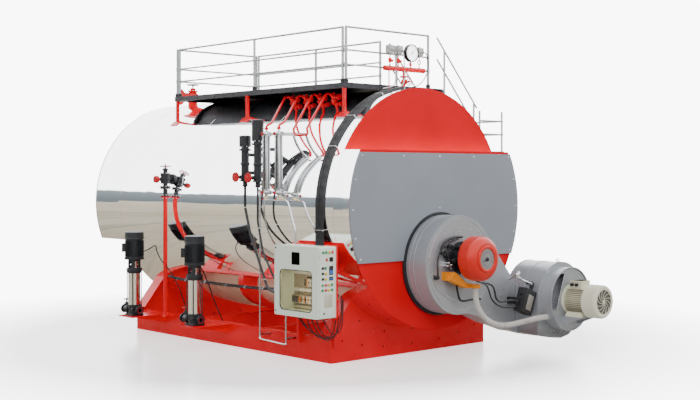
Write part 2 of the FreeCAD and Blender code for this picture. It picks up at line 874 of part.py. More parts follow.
def stair_landing():
    """Landing on four legs beside the boiler, with braces to its front edge."""
    x0 = landing_inner + seat_gap
    x1 = landing_outer
    floor = block(x0, x1, stair_front, stair_rear, landing_z - landing_thick, landing_z)
    pieces = [floor]
    half = leg_half
    for x in (x0 + leg_inset, x1 - leg_inset):
        for y in (stair_rear - leg_back[0], stair_rear - leg_back[1]):
            pieces.append(block(x - half, x + half, y - half, y + half, 0,
                                landing_z - landing_thick))
        pieces.append(rod(V(x, stair_rear - leg_back[1], landing_z - 620),
                          V(x, stair_front + 80, landing_z - landing_thick + 10), 20))
    return join(pieces)


def stair_lower():
    """Lower flight along the body: two side plates and the treads held between them."""
    x0 = landing_inner + seat_gap
    x1 = landing_outer
    rise = landing_z / lower_risers
    start = stair_rear + seat_gap
    end = start + lower_risers * lower_going
    pieces = []
    for x in (x0, x1 - stringer_wall):
        ring = [V(x, start, landing_z), V(x, end, 0), V(x, end - stringer_foot, 0),
                V(x, start, landing_z - stringer_foot * rise / lower_going)]
        face = Part.Face(Part.makePolygon(ring + [ring[0]]))
        pieces.append(face.extrude(V(stringer_wall, 0, 0)))
    for i in range(1, lower_risers):
        y = start + (i - 1) * lower_going
        z = landing_z - i * rise
        pieces.append(block(x0 + tread_inset, x1 - tread_inset, y + 4,
                            y + lower_going + tread_lap, z - tread_thick, z))
    return group(pieces)


def stair_rails():
    """Twin hand rails of the upper flight, on posts bolted outside its side plates."""
    reach = rail_tube_r * 0.8 + seat_gap
    panels = []
    for y in (stair_front - reach, stair_rear + reach):
        top = V(stair_nose_x - 150, y, deck_top + stair_rail_lift + 150 * stair_slope)
        low = V(landing_inner - 60, y, landing_z + stair_rail_lift + 60 * stair_slope)
        lift = V(0, 0, stair_rail_apart)
        pieces = [rod(top, low, rail_bar_r), rod(top - lift, low - lift, rail_bar_r)]
        for x in (stair_nose_x + 20, landing_inner - 130):
            nose_z = deck_top - stair_slope * (x - stair_nose_x)
            pieces.append(along_z(x, y, nose_z - 55, nose_z + stair_rail_lift,
                                  rail_tube_r * 0.8))
        panels.append(join(pieces))
    return panels


def landing_rails():
    """Railing on the outer and front edges of the landing."""
    x0 = landing_inner + 60
    x1 = landing_outer - 30
    y0 = stair_front + 25
    y1 = stair_rear - 40
    pieces = []
    for x, y in ((x0, y0), (x1, y0), (x1, y1)):
        pieces.append(along_z(x, y, landing_z + seat_gap, landing_z + landing_post,
                              rail_tube_r * 0.8))
    for height in landing_rail_heights:
        z = landing_z + height
        pieces.append(along_x(y0, z, x0, x1 + 25, rail_bar_r))
        pieces.append(along_y(x1, z, y0, y1, rail_bar_r))
    return join(pieces)


def lower_rails():
    """Hand rail of the lower flight, on posts bolted outside its outer side plate."""
    x = landing_outer + rail_tube_r * 0.8 + seat_gap
    slope = landing_z / lower_risers / lower_going
    start = stair_rear + seat_gap
    y0 = start + 100
    y1 = start + (lower_risers - 1) * lower_going
    pieces = []
    for y in (y0, (y0 + y1) / 2, y1):
        nose_z = landing_z - slope * (y - start)
        pieces.append(along_z(x, y, nose_z - 80, nose_z + rail_top, rail_tube_r * 0.8))
    for height in (rail_mid, rail_top):
        top = V(x, y0, landing_z - slope * (y0 - start) + height)
        low = V(x, y1, landing_z - slope * (y1 - start) + height)
        pieces.append(rod(top, low, rail_bar_r))
    return join(pieces)


# Header with gauges

def steam_header():
    """Small header across the front, on a flanged riser from the body."""
    top = shell_top(0)
    bar = along_x(header_y, header_z, header_left, header_right, header_r)
    riser = along_z(0, header_y, top - 20, header_z, 24)
    low = along_z(0, header_y, top + 20, top + 42, 62)
    mid = Part.makeSphere(50, V(0, header_y, top + 110))
    high = along_z(0, header_y, top + 178, top + 200, 62)
    second = along_z(-320, header_y, shell_top(-320) - 20, header_z, 10)
    boss = along_z(-320, header_y, shell_top(-320) - 20, shell_top(-320) + 30, 26)
    stub = along_y(0, top + 110, header_y, header_y - 98, 17)
    spindle = along_y(0, top + 110, header_y, header_y - 128, header_spindle_r)
    whole = join([bar, riser, low, mid, high, second, boss, stub, spindle])
    return whole.cut(along_y(0, shell_axis_z, shell_front_y, shell_back_y,
                             shell_r + seat_gap))


def header_wheel():
    """Handwheel of the header's stop valve, on the spindle of its stub."""
    centre = V(0, header_y - 112, shell_top(0) + 110)
    return handwheel(centre, V(0, -1, 0), header_wheel_r, 8, 4, 16, 22,
                     header_spindle_r + seat_gap)


def gauge_stems():
    """Siphons between the header and its instruments."""
    stems = []
    for x in instrument_x:
        low = header_z + header_r - 4
        stem = join([along_z(x, header_y, low, low + 62, siphon_r),
                     Part.makeTorus(30, siphon_r, V(x, header_y, low + 92), V(0, 1, 0)),
                     along_z(x, header_y, low + 122, instrument_z, siphon_r)])
        stems.append(stem.cut(along_x(header_y, header_z, header_left, header_right,
                                      header_r + seat_gap)))
    return stems


def pressure_gauge():
    """Round pressure gauge facing forwards, on its own siphon."""
    y0 = header_y + 20
    y1 = y0 - gauge_depth
    case = along_y(gauge_x, gauge_z, y0, y1, gauge_r)
    lip = tube(V(gauge_x, y1, gauge_z), V(gauge_x, y1 - 10, gauge_z), gauge_r, gauge_r - 14)
    low = header_z + header_r - 4
    stem = along_z(gauge_x, header_y, low, gauge_z, siphon_r)
    coil = Part.makeTorus(24, siphon_r, V(gauge_x, header_y, low + 50), V(0, 1, 0))
    gauge = join([case, lip, stem, coil])
    return gauge.cut(along_x(header_y, header_z, header_left, header_right,
                             header_r + seat_gap))


def pressure_switches():
    """Boxed pressure switches, each on its siphon beside the gauge."""
    boxes = []
    for x in instrument_x:
        z0 = instrument_z + seat_gap
        low = along_z(x, header_y, z0, z0 + 30, 22)
        case = block(x - 52, x + 52, header_y - 42, header_y + 42, z0 + 30, z0 + 150)
        boxes.append(join([low, case]))
    return boxes


# Level gear

def level_chambers():
    """Two level chambers with heads, bottom valves and stubs to the body."""
    pieces = []
    for y, low, high, head in zip(chamber_y, chamber_low, chamber_high, (150, 300)):
        body = along_z(level_x, y, low + 60, high - head, chamber_r)
        cap = along_z(level_x, y, high - head, high, chamber_cap_r)
        ring = along_z(level_x, y, high - head - 70, high - head - 40, chamber_cap_r)
        base = along_z(level_x, y, low + 60, low + 90, chamber_cap_r * 0.85)
        tail = along_z(level_x, y, low, low + 60, chamber_r * 0.6)
        stubs = [along_x(y, z, level_x, -math.sqrt(shell_r ** 2 - (z - shell_axis_z) ** 2) + body_lap,
                         26) for z in (low + 190, high - head - 130)]
        whole = join([body, cap, ring, base, tail] + stubs)
        pieces.append(whole.cut(along_y(0, shell_axis_z, shell_front_y, shell_back_y,
                                        shell_r + seat_gap)))
    return pieces


def gauge_glasses():
    """Two gauge glasses with end cocks and pipes to the body."""
    pieces = []
    for y in glass_y:
        column = block(level_x - 32, level_x + 32, y - 38, y + 38, glass_low + 130,
                       glass_high - 60)
        ends = []
        for z in (glass_low + 100, glass_high - 60):
            reach = -math.sqrt(shell_r ** 2 - (z - shell_axis_z) ** 2) + body_lap
            ends.append(along_x(y, z, level_x, reach, 20))
            ends.append(along_z(level_x, y, z - 40, z + 40, 30))
        tail = along_z(level_x, y, glass_low, glass_low + 100, 14)
        tip = along_z(level_x, y, glass_high - 60, glass_high, 12)
        whole = join([column, tail, tip] + ends)
        pieces.append(whole.cut(along_y(0, shell_axis_z, shell_front_y, shell_back_y,
                                        shell_r + seat_gap)))
    return group(pieces)


def chamber_wheels():
    """Red wheels of the two chamber drain valves, facing outwards."""
    wheels = []
    for y, low in zip(chamber_y, chamber_low):
        z = low + 125
        stem = along_x(y, z, level_x - chamber_r - seat_gap, level_x - 170, 12)
        wheel = along_x(y, z, level_x - 165, level_x - 195, 68)
        wheels.append(join([stem, wheel]))
    return wheels


def sensing_valves():
    """Four small valves on the body, under the platform's edge."""
    valves = []
    for y in sensing_y:
        top = shell_top(sensing_x)
        foot = along_z(sensing_x, y, top - 40, top + 60, 34)
        body = Part.makeSphere(sensing_body_r, V(sensing_x, y, top + 70))
        arm = along_y(sensing_x, top + 70, y, y - 105, 20)
        knob = along_y(sensing_x, top + 70, y - 95, y - 120, 44)
        whole = join([foot, body, arm, knob])
        valves.append(whole.cut(along_y(0, shell_axis_z, shell_front_y, shell_back_y,
                                        shell_r + seat_gap)))
    return valves


def valve_outlet(y):
    """Start of a sensing pipe: its first two points, square to the valve's round body."""
    centre = V(sensing_x, y, shell_top(sensing_x) + 70)
    knee = centre + V(-100, -8, 52)
    way = (knee - centre).normalize()
    return [centre + way * (sensing_body_r + seat_gap), knee]


def hoop(y):
    """Points of a sensing pipe from its valve to the far side of its hoop."""
    return valve_outlet(y) + [V(sensing_x - 210, y - 60, shell_top(sensing_x) + 110)]


def sensing_pipes():
    """Pipes that hoop out of the valves: two fall to the glasses, two join in a loop."""
    pipes = []
    for y, glass in zip(sensing_y[:2], glass_y):
        end = V(level_x, glass, glass_high + seat_gap)
        side = V(level_x, glass, glass_high + 60)
        fall = V(level_x + 110, glass + 20, glass_high + 105)
        pipes.append(bent_pipe(hoop(y) + [fall, side, end], sensing_r, 60))
    first, last = sensing_y[2:]
    turn_z = glass_high - 90
    loop = [V(level_x + 134, first - 560, turn_z + 90), V(level_x + 94, first - 640, turn_z),
            V(level_x + 94, last - 620, turn_z), V(level_x + 134, last - 540, turn_z + 90)]
    pipes.append(bent_pipe(hoop(first) + loop + hoop(last)[::-1], sensing_r, 110))
    return pipes


def drain_pipes():
    """Thin drain loop outside the rail, and the drain pipe under the gauge glasses."""
    x = -skid_width / 2 - drain_standoff
    y0 = drain_y[0]
    y1 = drain_y[1]
    loop = bent_pipe([V(x, y0, drain_high_z), V(x, y0, drain_low_z), V(x, y1, drain_low_z - 25),
                      V(x, y1, drain_low_z + 405)], drain_r, 40)
    clips = []
    for y in (y0, y1):
        clips.append(block(x, -skid_width / 2 - seat_gap, y - 20, y + 20,
                           drain_low_z + 50, drain_low_z + 80))
    z = glass_low - drain_r - seat_gap
    gather = bent_pipe([V(level_x, glass_y[0] + 60, z), V(level_x, glass_y[1] - 200, z),
                        V(level_x, glass_y[1] - 380, cabinet_high + seat_gap + 200),
                        V(level_x, glass_y[1] - 380, cabinet_high + seat_gap)], drain_r, 60)
    return group([join([loop] + clips), gather])


# Feed water

def feed_pipe():
    """Red riser from the skid up to the feed valve."""
    low = rail_height
    plate = block(feed_x - 60, -skid_width / 2 + 60, feed_y - 60, feed_y + 60,
                  low + seat_gap, low + 14)
    riser = along_z(feed_x, feed_y, low + 14, feed_top_z, feed_r)
    ring = along_z(feed_x, feed_y, feed_top_z - 20, feed_top_z, feed_flange_r)
    return join([plate, riser, ring])


def feed_valve():
    """Globe valve on the riser, with its outlet flange on the body and a drain knob."""
    z = feed_valve_z
    low = feed_top_z + seat_gap
    ring = along_z(feed_x, feed_y, low, low + 20, feed_flange_r)
    neck = along_z(feed_x, feed_y, low, z, feed_r * 1.1)
    middle = along_z(feed_x, feed_y, z - 150, z - 120, feed_flange_r * 1.15)
    body = along_z(feed_x, feed_y, z - 75, z + 75, feed_r * 2.2)
    cap = along_z(feed_x, feed_y, z + 60, z + 95, feed_flange_r * 1.1)
    bonnet = along_z(feed_x, feed_y, z + 95, z + 175, feed_r * 1.05)
    stem = along_z(feed_x, feed_y, z + 175, feed_wheel_z + 30, feed_stem_r)
    face_x = -math.sqrt(shell_r ** 2 - (z - shell_axis_z) ** 2)
    run = along_x(feed_y, z, feed_x, face_x + 60, feed_r * 1.2)
    outlet = along_x(feed_y, z, face_x - 28, face_x + 60, feed_flange_r * 1.15)
    arm = along_x(feed_y, z, feed_x, feed_x - 150, 16)
    knob = along_x(feed_y, z, feed_x - 140, feed_x - 205, 52)
    whole = join([ring, neck, middle, body, cap, bonnet, stem, run, outlet, arm, knob])
    return whole.cut(along_y(0, shell_axis_z, shell_front_y, shell_back_y,
                             shell_r + seat_gap))


def feed_wheel():
    centre = V(feed_x, feed_y, feed_wheel_z)
    return handwheel(centre, V(0, 0, 1), feed_wheel_r, 9, 4, 20, 24,
                     feed_stem_r + seat_gap)


# Pumps

def pump_shelves():
    """Two shelf plates welded to the outside of the left rail."""
    x1 = -skid_width / 2 - seat_gap
    x0 = pump_x - 170
    z1 = rail_height
    shelves = []
    for y in pump_y:
        half = pump_shelf / 2
        plate = block(x0, x1, y - half, y + half, z1 - pump_shelf_thick, z1)
        ribs = []
        for side in (-1, 1):
            ring = [V(x1, y + side * half * 0.7 - 6, z1 - pump_shelf_thick),
                    V(x0 + 60, y + side * half * 0.7 - 6, z1 - pump_shelf_thick),
                    V(x1, y + side * half * 0.7 - 6, z1 - 150)]
            face = Part.Face(Part.makePolygon(ring + [ring[0]]))
            ribs.append(face.extrude(V(0, 12, 0)))
        shelves.append(join([plate] + ribs))
    return group(shelves)


def pump_base(y):
    """Cast pump foot with a drilled port flange at each side along the skid."""
    z0 = rail_height + seat_gap
    z = z0 + pump_port_z
    half = pump_foot_half
    foot = block(pump_x - half, pump_x + half, y - half, y + half, z0, z0 + pump_foot_thick)
    body = along_z(pump_x, y, z0, z0 + pump_base_height, pump_sleeve_r * 0.95)
    port = along_y(pump_x, z, y - pump_port_reach, y + pump_port_reach, pump_port_r * 1.25)
    lugs = []
    for side in (-1, 1):
        face_y = y + side * pump_port_reach
        lugs.append(flange(V(pump_x, face_y, z), V(0, side, 0), pump_flange_r,
                           pump_flange_thick, pump_pcd, 4, pump_bolt_r))
    bore = along_y(pump_x, z, y - 200, y + 200, pump_port_r)
    return join([foot, body, port] + lugs).cut(bore)


def pump_sleeve(y):
    z0 = rail_height + seat_gap + pump_base_height
    return along_z(pump_x, y, z0, z0 + pump_sleeve_height, pump_sleeve_r)


def pump_motor(y):
    """Lantern, motor and fan cover in one line above the sleeve."""
    z0 = rail_height + seat_gap + pump_base_height + pump_sleeve_height
    z1 = z0 + pump_lantern_height
    foot = along_z(pump_x, y, z0, z0 + 40, pump_sleeve_r * 1.3)
    lantern = along_z(pump_x, y, z0, z1, pump_sleeve_r * 1.05)
    for angle in (0, 90):
        slot = block(pump_x - 160, pump_x + 160, y - 45, y + 45, z0 + 60, z1 - 60)
        slot.rotate(V(pump_x, y, 0), V(0, 0, 1), angle)
        lantern = lantern.cut(slot)
    core = along_z(pump_x, y, z0, z1, pump_sleeve_r * 0.35)
    plate = along_z(pump_x, y, z1 - 30, z1, pump_motor_r * 1.05)
    motor = along_z(pump_x, y, z1, z1 + pump_motor_height, pump_motor_r * 0.9)
    cover = along_z(pump_x, y, z1 + pump_motor_height * 0.72, z1 + pump_motor_height,
                    pump_motor_r)
    side = math.radians(200)
    box = block(pump_x - 60, pump_x + 60, y, y - pump_motor_r - 55,
                z1 + 90, z1 + 230)
    box.rotate(V(pump_x, y, 0), V(0, 0, 1), math.degrees(side))
    return join([foot, lantern, core, plate, motor, cover, box])


def pump_valve(y):
    """Stop valve bolted to the rear port, with its stem up to the wheel."""
    z = rail_height + seat_gap + pump_port_z
    y0 = y + pump_port_reach + pump_flange_thick + seat_gap
    middle = y0 + pump_valve_middle
    far = y0 + 2 * pump_valve_middle
    ring = along_y(pump_x, z, y0, y0 + pump_flange_thick, pump_flange_r)
    body = Part.makeSphere(58, V(pump_x, middle, z))
    run = along_y(pump_x, z, y0, far, pump_port_r)
    end = along_y(pump_x, z, far - pump_flange_thick, far, pump_flange_r)
    stem = along_z(pump_x, middle, z, z + pump_wheel_lift + 15, pump_stem_r)
    bonnet = along_z(pump_x, middle, z, z + 110, 26)
    return join([ring, body, run, end, stem, bonnet])


def pump_wheel(y):
    centre = V(pump_x, y + pump_port_reach + pump_flange_thick + seat_gap + pump_valve_middle,
               rail_height + seat_gap + pump_port_z + pump_wheel_lift)
    return handwheel(centre, V(0, 0, 1), pump_wheel_r, 7, 4, 17, 20, pump_stem_r + seat_gap)


# Cabinet

def rounded_frame(x0, x1, y0, y1, z0, z1, radius):
    """Block whose four edges along X are rounded."""
    solid = block(x0, x1, y0, y1, z0, z1)
    long_edges = [edge for edge in solid.Edges
                  if abs(edge.BoundBox.XLength - abs(x1 - x0)) < 0.01]
    return solid.makeFillet(radius, long_edges)


def cabinet_body():
    """Steel enclosure, open towards the door."""
    x0 = cabinet_left + cabinet_door_thick + door_gap
    outer = rounded_frame(x0, cabinet_right, cabinet_front, cabinet_rear, cabinet_low,
                          cabinet_high, cabinet_round)
    wall = cabinet_wall
    inner = rounded_frame(x0, cabinet_right - wall, cabinet_front + wall,
                          cabinet_rear - wall, cabinet_low + wall, cabinet_high - wall,
                          cabinet_round - wall / 2)
    body = outer.cut(inner)
    for z in (cabinet_low + hinge_inset, cabinet_high - hinge_inset):
        z0 = z + knuckle + knuckle_gap
        z1 = z0 + knuckle
        barrel = along_z(hinge_x(), hinge_y(), z0, z1, hinge_r)
        leaf = block(hinge_x() - 2, x0 + 4, hinge_y() - 3, cabinet_front + 4, z0, z1)
        body = join([body, barrel, leaf])
    return body


def hinge_x():
    return cabinet_left + cabinet_door_thick + door_gap / 2


def hinge_y():
    return cabinet_front - hinge_r - 2


def window_hole(grow=0.0):
    y0 = cabinet_front + window_margin
    y1 = cabinet_rear - window_margin
    z0 = cabinet_low + window_low
    z1 = cabinet_high - window_top_margin
    return (y0 - grow, y1 + grow, z0 - grow, z1 + grow)


def display_hole(grow=0.0):
    middle = (cabinet_front + cabinet_rear) / 2
    half = display_half + grow
    z1 = cabinet_high - display_drop
    return (middle - half, middle + half, z1 - 2 * display_half - grow, z1 + grow)


def cabinet_door():
    """Hinged door with a rounded window and a small display opening above."""
    door = rounded_frame(cabinet_left, cabinet_left + cabinet_door_thick, cabinet_front,
                         cabinet_rear, cabinet_low, cabinet_high, cabinet_round)
    y0, y1, z0, z1 = window_hole()
    hole = rounded_frame(cabinet_left, cabinet_left + cabinet_door_thick, y0, y1, z0, z1,
                         window_round)
    panel = block(cabinet_left, cabinet_left + display_depth, *display_hole())
    door = door.cut(hole).cut(panel)
    for z in (cabinet_low + hinge_inset, cabinet_high - hinge_inset):
        z1 = z + knuckle
        barrel = along_z(hinge_x(), hinge_y(), z, z1, hinge_r)
        leaf = block(cabinet_left + 6, hinge_x() + 2, hinge_y() - 3, cabinet_front + 4, z, z1)
        door = join([door, barrel, leaf])
    return door


def cabinet_window():
    """Clear pane set in the door, and the dark display glass above it."""
    y0, y1, z0, z1 = window_hole(-seat_gap)
    x0 = cabinet_left + 10
    pane = rounded_frame(x0, x0 + window_thick, y0, y1, z0, z1, window_round - seat_gap)
    display = block(cabinet_left + 4, cabinet_left + display_depth - seat_gap,
                    *display_hole(-seat_gap))
    return group([pane, display])


def cabinet_gear():
    """Mounting plate inside the cabinet, with three rows of switch gear."""
    back = cabinet_right - cabinet_wall - seat_gap
    plate = block(back, back - 6, cabinet_front + 60, cabinet_rear - 60,
                  cabinet_low + 60, cabinet_high - 60)
    pieces = [plate]
    for i, (first, last) in enumerate(((0.1, 0.9), (0.1, 0.6), (0.25, 0.9))):
        z = cabinet_low + 160 + i * 250
        span = cabinet_rear - cabinet_front - 120
        pieces.append(block(back, back - 110, cabinet_front + 60 + first * span,
                            cabinet_front + 60 + last * span, z, z + 120))
    return join(pieces)


def cabinet_frame():
    """Backing plate with one post on the rail's side and one on the front plate."""
    x0 = cabinet_right + seat_gap
    side_x = -skid_width / 2 - seat_gap
    back = block(x0, x0 + 14, cabinet_front - 20, cabinet_rear + 20, cabinet_low - 20,
                 cabinet_high + 20)
    pieces = [back]
    rear_y = cabinet_rear - 30
    front_y = skid_front - seat_gap
    places = [(side_x - cabinet_post, side_x, rear_y, rear_y + cabinet_post),
              (side_x + 20, side_x + 20 + cabinet_post, front_y - cabinet_post, front_y)]
    for left, right, y0, y1 in places:
        pieces.append(block(left, right, y0, y1, post_low_z, post_high_z))
        for z in (cabinet_low + 100, post_high_z - cabinet_post):
            pieces.append(block(x0 + 10, right, y0, y1, z, z + cabinet_post))
    return join(pieces)


# Cables held by the boiler

def cable_band():
    """Two flat cable bundles round the body, down to the cabinet's top."""
    inner = shell_r + seat_gap
    bands = []
    for y in band_y:
        y0 = y - band_width / 2
        y1 = y + band_width / 2
        outer = tube(V(0, y0, shell_axis_z), V(0, y1, shell_axis_z),
                     inner + band_thick, inner)
        band = outer.common(block(-inner - band_thick, band_start_x, y0, y1,
                                  shell_axis_z, shell_axis_z + inner + band_thick))
        drop = block(-inner - band_thick, -inner, y0, y1, cabinet_high + seat_gap,
                     shell_axis_z)
        bands.append(join([band, drop]))
    return bands


def conduits():
    """Two black conduits from the level chambers down to the cabinet's rear side."""
    x = level_x
    end_y = cabinet_rear + seat_gap
    first = bent_pipe([V(x, chamber_y[0], chamber_low[0] - seat_gap), V(x, chamber_y[0], 2200),
                       V(x, -1092, 1800), V(x, -1501, 1020), V(x, -1720, 960),
                       V(x, end_y, 960)], conduit_r, 200)
    second = bent_pipe([V(x, chamber_y[1], chamber_low[1] - seat_gap), V(x, chamber_y[1], 2000),
                        V(x - 6, -1395, 1560), V(x, -1650, 1190), V(x, -1760, 1130),
                        V(x, end_y, 1130)], conduit_r * 0.8, 200)
    return [first, second]


# Each node's solid or solids

nodes = {
    "skid_rail_left": skid_rail(),
    "skid_rail_right": mirror_x(skid_rail()),
    "skid_cross_members": cross_members(),
    "saddle_front": saddle(),
    "saddle_rear": mirror_y(saddle()),
    "boiler_shell": shell(),
    "front_end_plate": along_y(0, shell_axis_z, front_plate_y, shell_front_y, shell_r),
    "front_smoke_box": front_box(),
    "front_door": front_door(),
    "front_cover_sheet": front_cover(),
    "rear_end_plate": along_y(0, shell_axis_z, shell_back_y, rear_plate_y, shell_r),
    "rear_smoke_box": rear_box(),
    "rear_cover": rear_cover(),
    "flue_outlet": flue_outlet(),
    "steam_outlet_valve": steam_outlet(),
    "burner_ring": burner_ring(),
    "burner_windbox": windbox(),
    "burner_head": burner_head(),
    "burner_cap": burner_cap(),
    "burner_bracket": burner_bracket(),
    "air_hose": air_hose(),
    "air_duct": air_duct(),
    "fan_casing": fan_casing(),
    "fan_inlet_hood": join([fan_inlet(), motor_bracket()]),
    "fan_motor": join([fan_motor(), fan_cowl()]),
    "damper_control_box": control_box(),
    "platform_deck": platform_deck(),
    "platform_posts": platform_posts(),
    "stair_upper": stair_upper(),
    "stair_landing": stair_landing(),
    "stair_lower": stair_lower(),
    "stair_handrails": group(stair_rails() + [landing_rails(), lower_rails()]),
    "steam_header": steam_header(),
    "header_valve_wheel": header_wheel(),
    "header_instruments": group(gauge_stems() + pressure_switches()),
    "pressure_gauge": pressure_gauge(),
    "level_chambers": group(level_chambers() + chamber_wheels()),
    "level_gauge_glasses": gauge_glasses(),
    "sensing_lines": group(sensing_valves() + sensing_pipes()),
    "drain_pipes": drain_pipes(),
    "feed_pipe": feed_pipe(),
    "feed_valve": feed_valve(),
    "feed_valve_wheel": feed_wheel(),
    "pump_shelves": pump_shelves(),
    "cabinet_body": cabinet_body(),
    "cabinet_door": cabinet_door(),
    "cabinet_window": cabinet_window(),
    "cabinet_gear": cabinet_gear(),
    "cabinet_frame": cabinet_frame(),
    "cable_harness": group(cable_band() + conduits()),
}
nodes.update(railings())
nodes["pump_castings"] = group([pump_base(y) for y in pump_y] + [pump_valve(y) for y in pump_y])
nodes["pump_sleeves"] = group([pump_sleeve(y) for y in pump_y])
nodes["pump_motors"] = group([pump_motor(y) for y in pump_y])
nodes["pump_front_wheel"] = pump_wheel(pump_y[0])
nodes["pump_rear_wheel"] = pump_wheel(pump_y[1])

for name, shape in nodes.items():
    print(name, len(shape.Solids), round(shape.Volume / 1e6, 2), shape.isValid())
    shape.exportStep("parts/" + name + ".step")

for i in range(1, len(hose_points) - 1):
    print("hose bend", i, round(arc_radius(hose_points[i - 1], hose_points[i],
                                           hose_points[i + 1], None)))
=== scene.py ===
import bpy
import bmesh
import math
import random
from mathutils import Matrix, Vector


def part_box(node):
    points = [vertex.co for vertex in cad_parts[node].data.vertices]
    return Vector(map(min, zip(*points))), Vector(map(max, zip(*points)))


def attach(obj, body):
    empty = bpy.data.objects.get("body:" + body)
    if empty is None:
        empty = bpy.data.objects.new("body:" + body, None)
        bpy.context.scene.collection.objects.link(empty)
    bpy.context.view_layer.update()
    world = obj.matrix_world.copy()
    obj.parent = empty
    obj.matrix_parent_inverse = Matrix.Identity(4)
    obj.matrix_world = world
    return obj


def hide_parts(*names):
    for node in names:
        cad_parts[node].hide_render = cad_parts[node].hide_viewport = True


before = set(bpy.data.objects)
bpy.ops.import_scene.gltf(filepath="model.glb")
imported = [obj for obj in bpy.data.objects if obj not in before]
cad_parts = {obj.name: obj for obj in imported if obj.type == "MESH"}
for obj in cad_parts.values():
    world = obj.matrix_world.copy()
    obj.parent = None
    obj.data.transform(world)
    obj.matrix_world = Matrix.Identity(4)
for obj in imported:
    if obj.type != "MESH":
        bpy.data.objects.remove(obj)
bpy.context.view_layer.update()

# ---------------------------------------------------------------- Stage and camera
# The studio: a pale floor under a white sky, three large soft lights and a camera at
# eye height, off the burner end. Polished cladding shows the yard that it stands in,
# so a sandy ground and a low line of hills are there for reflections only.


class Number:
    """A value in a tree of nodes. Arithmetic on it adds the nodes that work it out."""

    def __init__(self, nodes, socket):
        self.nodes = nodes
        self.socket = socket

    def sum(self, operation, first, second):
        return self.nodes.add("ShaderNodeMath", {"operation": operation}, {0: first, 1: second})

    def __add__(self, other):
        return self.sum("ADD", self, other)

    def __radd__(self, other):
        return self.sum("ADD", other, self)

    def __sub__(self, other):
        return self.sum("SUBTRACT", self, other)

    def __rsub__(self, other):
        return self.sum("SUBTRACT", other, self)

    def __mul__(self, other):
        return self.sum("MULTIPLY", self, other)

    def __gt__(self, other):
        return self.sum("GREATER_THAN", self, other)

    def __lt__(self, other):
        return self.sum("LESS_THAN", self, other)


class Nodes:
    """A tree of shader nodes."""

    def __init__(self, owner):
        owner.use_nodes = True
        self.tree = owner.node_tree

    def feed(self, socket, value):
        if isinstance(value, Number):
            self.tree.links.new(value.socket, socket)
        else:
            socket.default_value = value

    def add(self, kind, settings=None, sockets=None, out=0):
        """Adds a node: its settings first, then the values or links of its sockets."""
        node = self.tree.nodes.new(kind)
        for key, value in (settings or {}).items():
            setattr(node, key, value)
        for key, value in (sockets or {}).items():
            self.feed(node.inputs[key], value)
        return Number(self, node.outputs[out])

    def mixed(self, share, first, second):
        """A colour between two others."""
        pair = [c if isinstance(c, Number) or len(c) == 4 else (*c, 1.0) for c in (first, second)]
        return self.add("ShaderNodeMix", {"data_type": "RGBA"},
                        {0: share, 6: pair[0], 7: pair[1]}, out=2)


class Finish(Nodes):
    """A surface finish: one shader, and the nodes that vary it over the surface."""

    def __init__(self, name, colour, roughness=0.4, metallic=0.0, **plain):
        self.material = bpy.data.materials.new(name)
        super().__init__(self.material)
        self.shader = self.tree.nodes["Principled BSDF"]
        self.lay("Base Color", (*colour, 1.0))
        self.lay("Roughness", roughness)
        self.lay("Metallic", metallic)
        for key, value in plain.items():
            self.lay(key.replace("_", " "), value)

    def lay(self, name, value):
        """Sets one of the shader's sockets, or feeds it."""
        self.feed(self.shader.inputs[name], value)

    def place(self, stretch=(1, 1, 1), turn=(0, 0, 0)):
        """Places on the object, in metres, stretched for a pattern."""
        where = self.add("ShaderNodeTexCoord", out="Object")
        return self.add("ShaderNodeMapping", {}, {"Vector": where, "Rotation": turn, "Scale": stretch})

    def along(self, name):
        """How far along X, Y or Z a place is, in metres."""
        where = self.add("ShaderNodeTexCoord", out="Object")
        return self.add("ShaderNodeSeparateXYZ", {}, {0: where}, out=name)

    def cloud(self, scale, detail=3.0, stretch=(1, 1, 1), rough=0.5):
        return self.add("ShaderNodeTexNoise", {}, {"Vector": self.place(stretch), "Scale": scale,
                                                   "Detail": detail, "Roughness": rough})

    def waves(self, way, scale, **place):
        """Even stripes across X, Y or Z."""
        return self.add("ShaderNodeTexWave", {"bands_direction": way},
                        {"Vector": self.place(**place), "Scale": scale})

    def ramp(self, share, low, high):
        """A share that climbs from 0 to 1 between two values."""
        return self.add("ShaderNodeMapRange", {"clamp": True},
                        {"Value": share, "From Min": low, "From Max": high})

    def relief(self, height, strength, depth, edge=0.0):
        """Lays a bump, over edges rounded by the given radius."""
        sockets = {"Height": height, "Strength": strength, "Distance": depth}
        if edge:
            sockets["Normal"] = self.add("ShaderNodeBevel", {"samples": 4}, {"Radius": edge})
        self.lay("Normal", self.add("ShaderNodeBump", {}, sockets))


def tint(colour, share):
    """A colour made darker or lighter by a share."""
    return tuple(min(1.0, c * share) for c in colour)


def painted(name, colour, roughness=0.35, metallic=0.0, wear=0.15, grain=0.0004, edge=0.003, **plain):
    """Sprayed paint or a skin like it: faint clouds, dust, orange peel and soft edges."""
    plain.setdefault("Specular_IOR_Level", 0.22)
    finish = Finish(name, colour, roughness, metallic, **plain)
    cloud = finish.cloud(1.3, 4)
    dust = finish.cloud(9.0, 5, rough=0.65)
    finish.base = finish.mixed(finish.ramp(cloud, 0.3, 0.7), tint(colour, 1 - wear),
                               tint(colour, 1 + wear))
    finish.lay("Base Color", finish.base)
    finish.lay("Roughness", roughness + (dust - 0.5) * 0.14)
    finish.relief(finish.cloud(90.0, 2), 0.25, grain, edge)
    return finish


def smooth(name, colour, low, high, metallic=0.0, scale=12.0, stretch=(1, 1, 1), **plain):
    """Bare metal, glass or moulding: its roughness and colour drift a little over it."""
    finish = Finish(name, colour, low, metallic, **plain)
    cloud = finish.cloud(scale, 4, stretch)
    finish.lay("Roughness", cloud * (high - low) + low)
    finish.lay("Base Color", finish.mixed(cloud, tint(colour, 0.93), colour))
    return finish


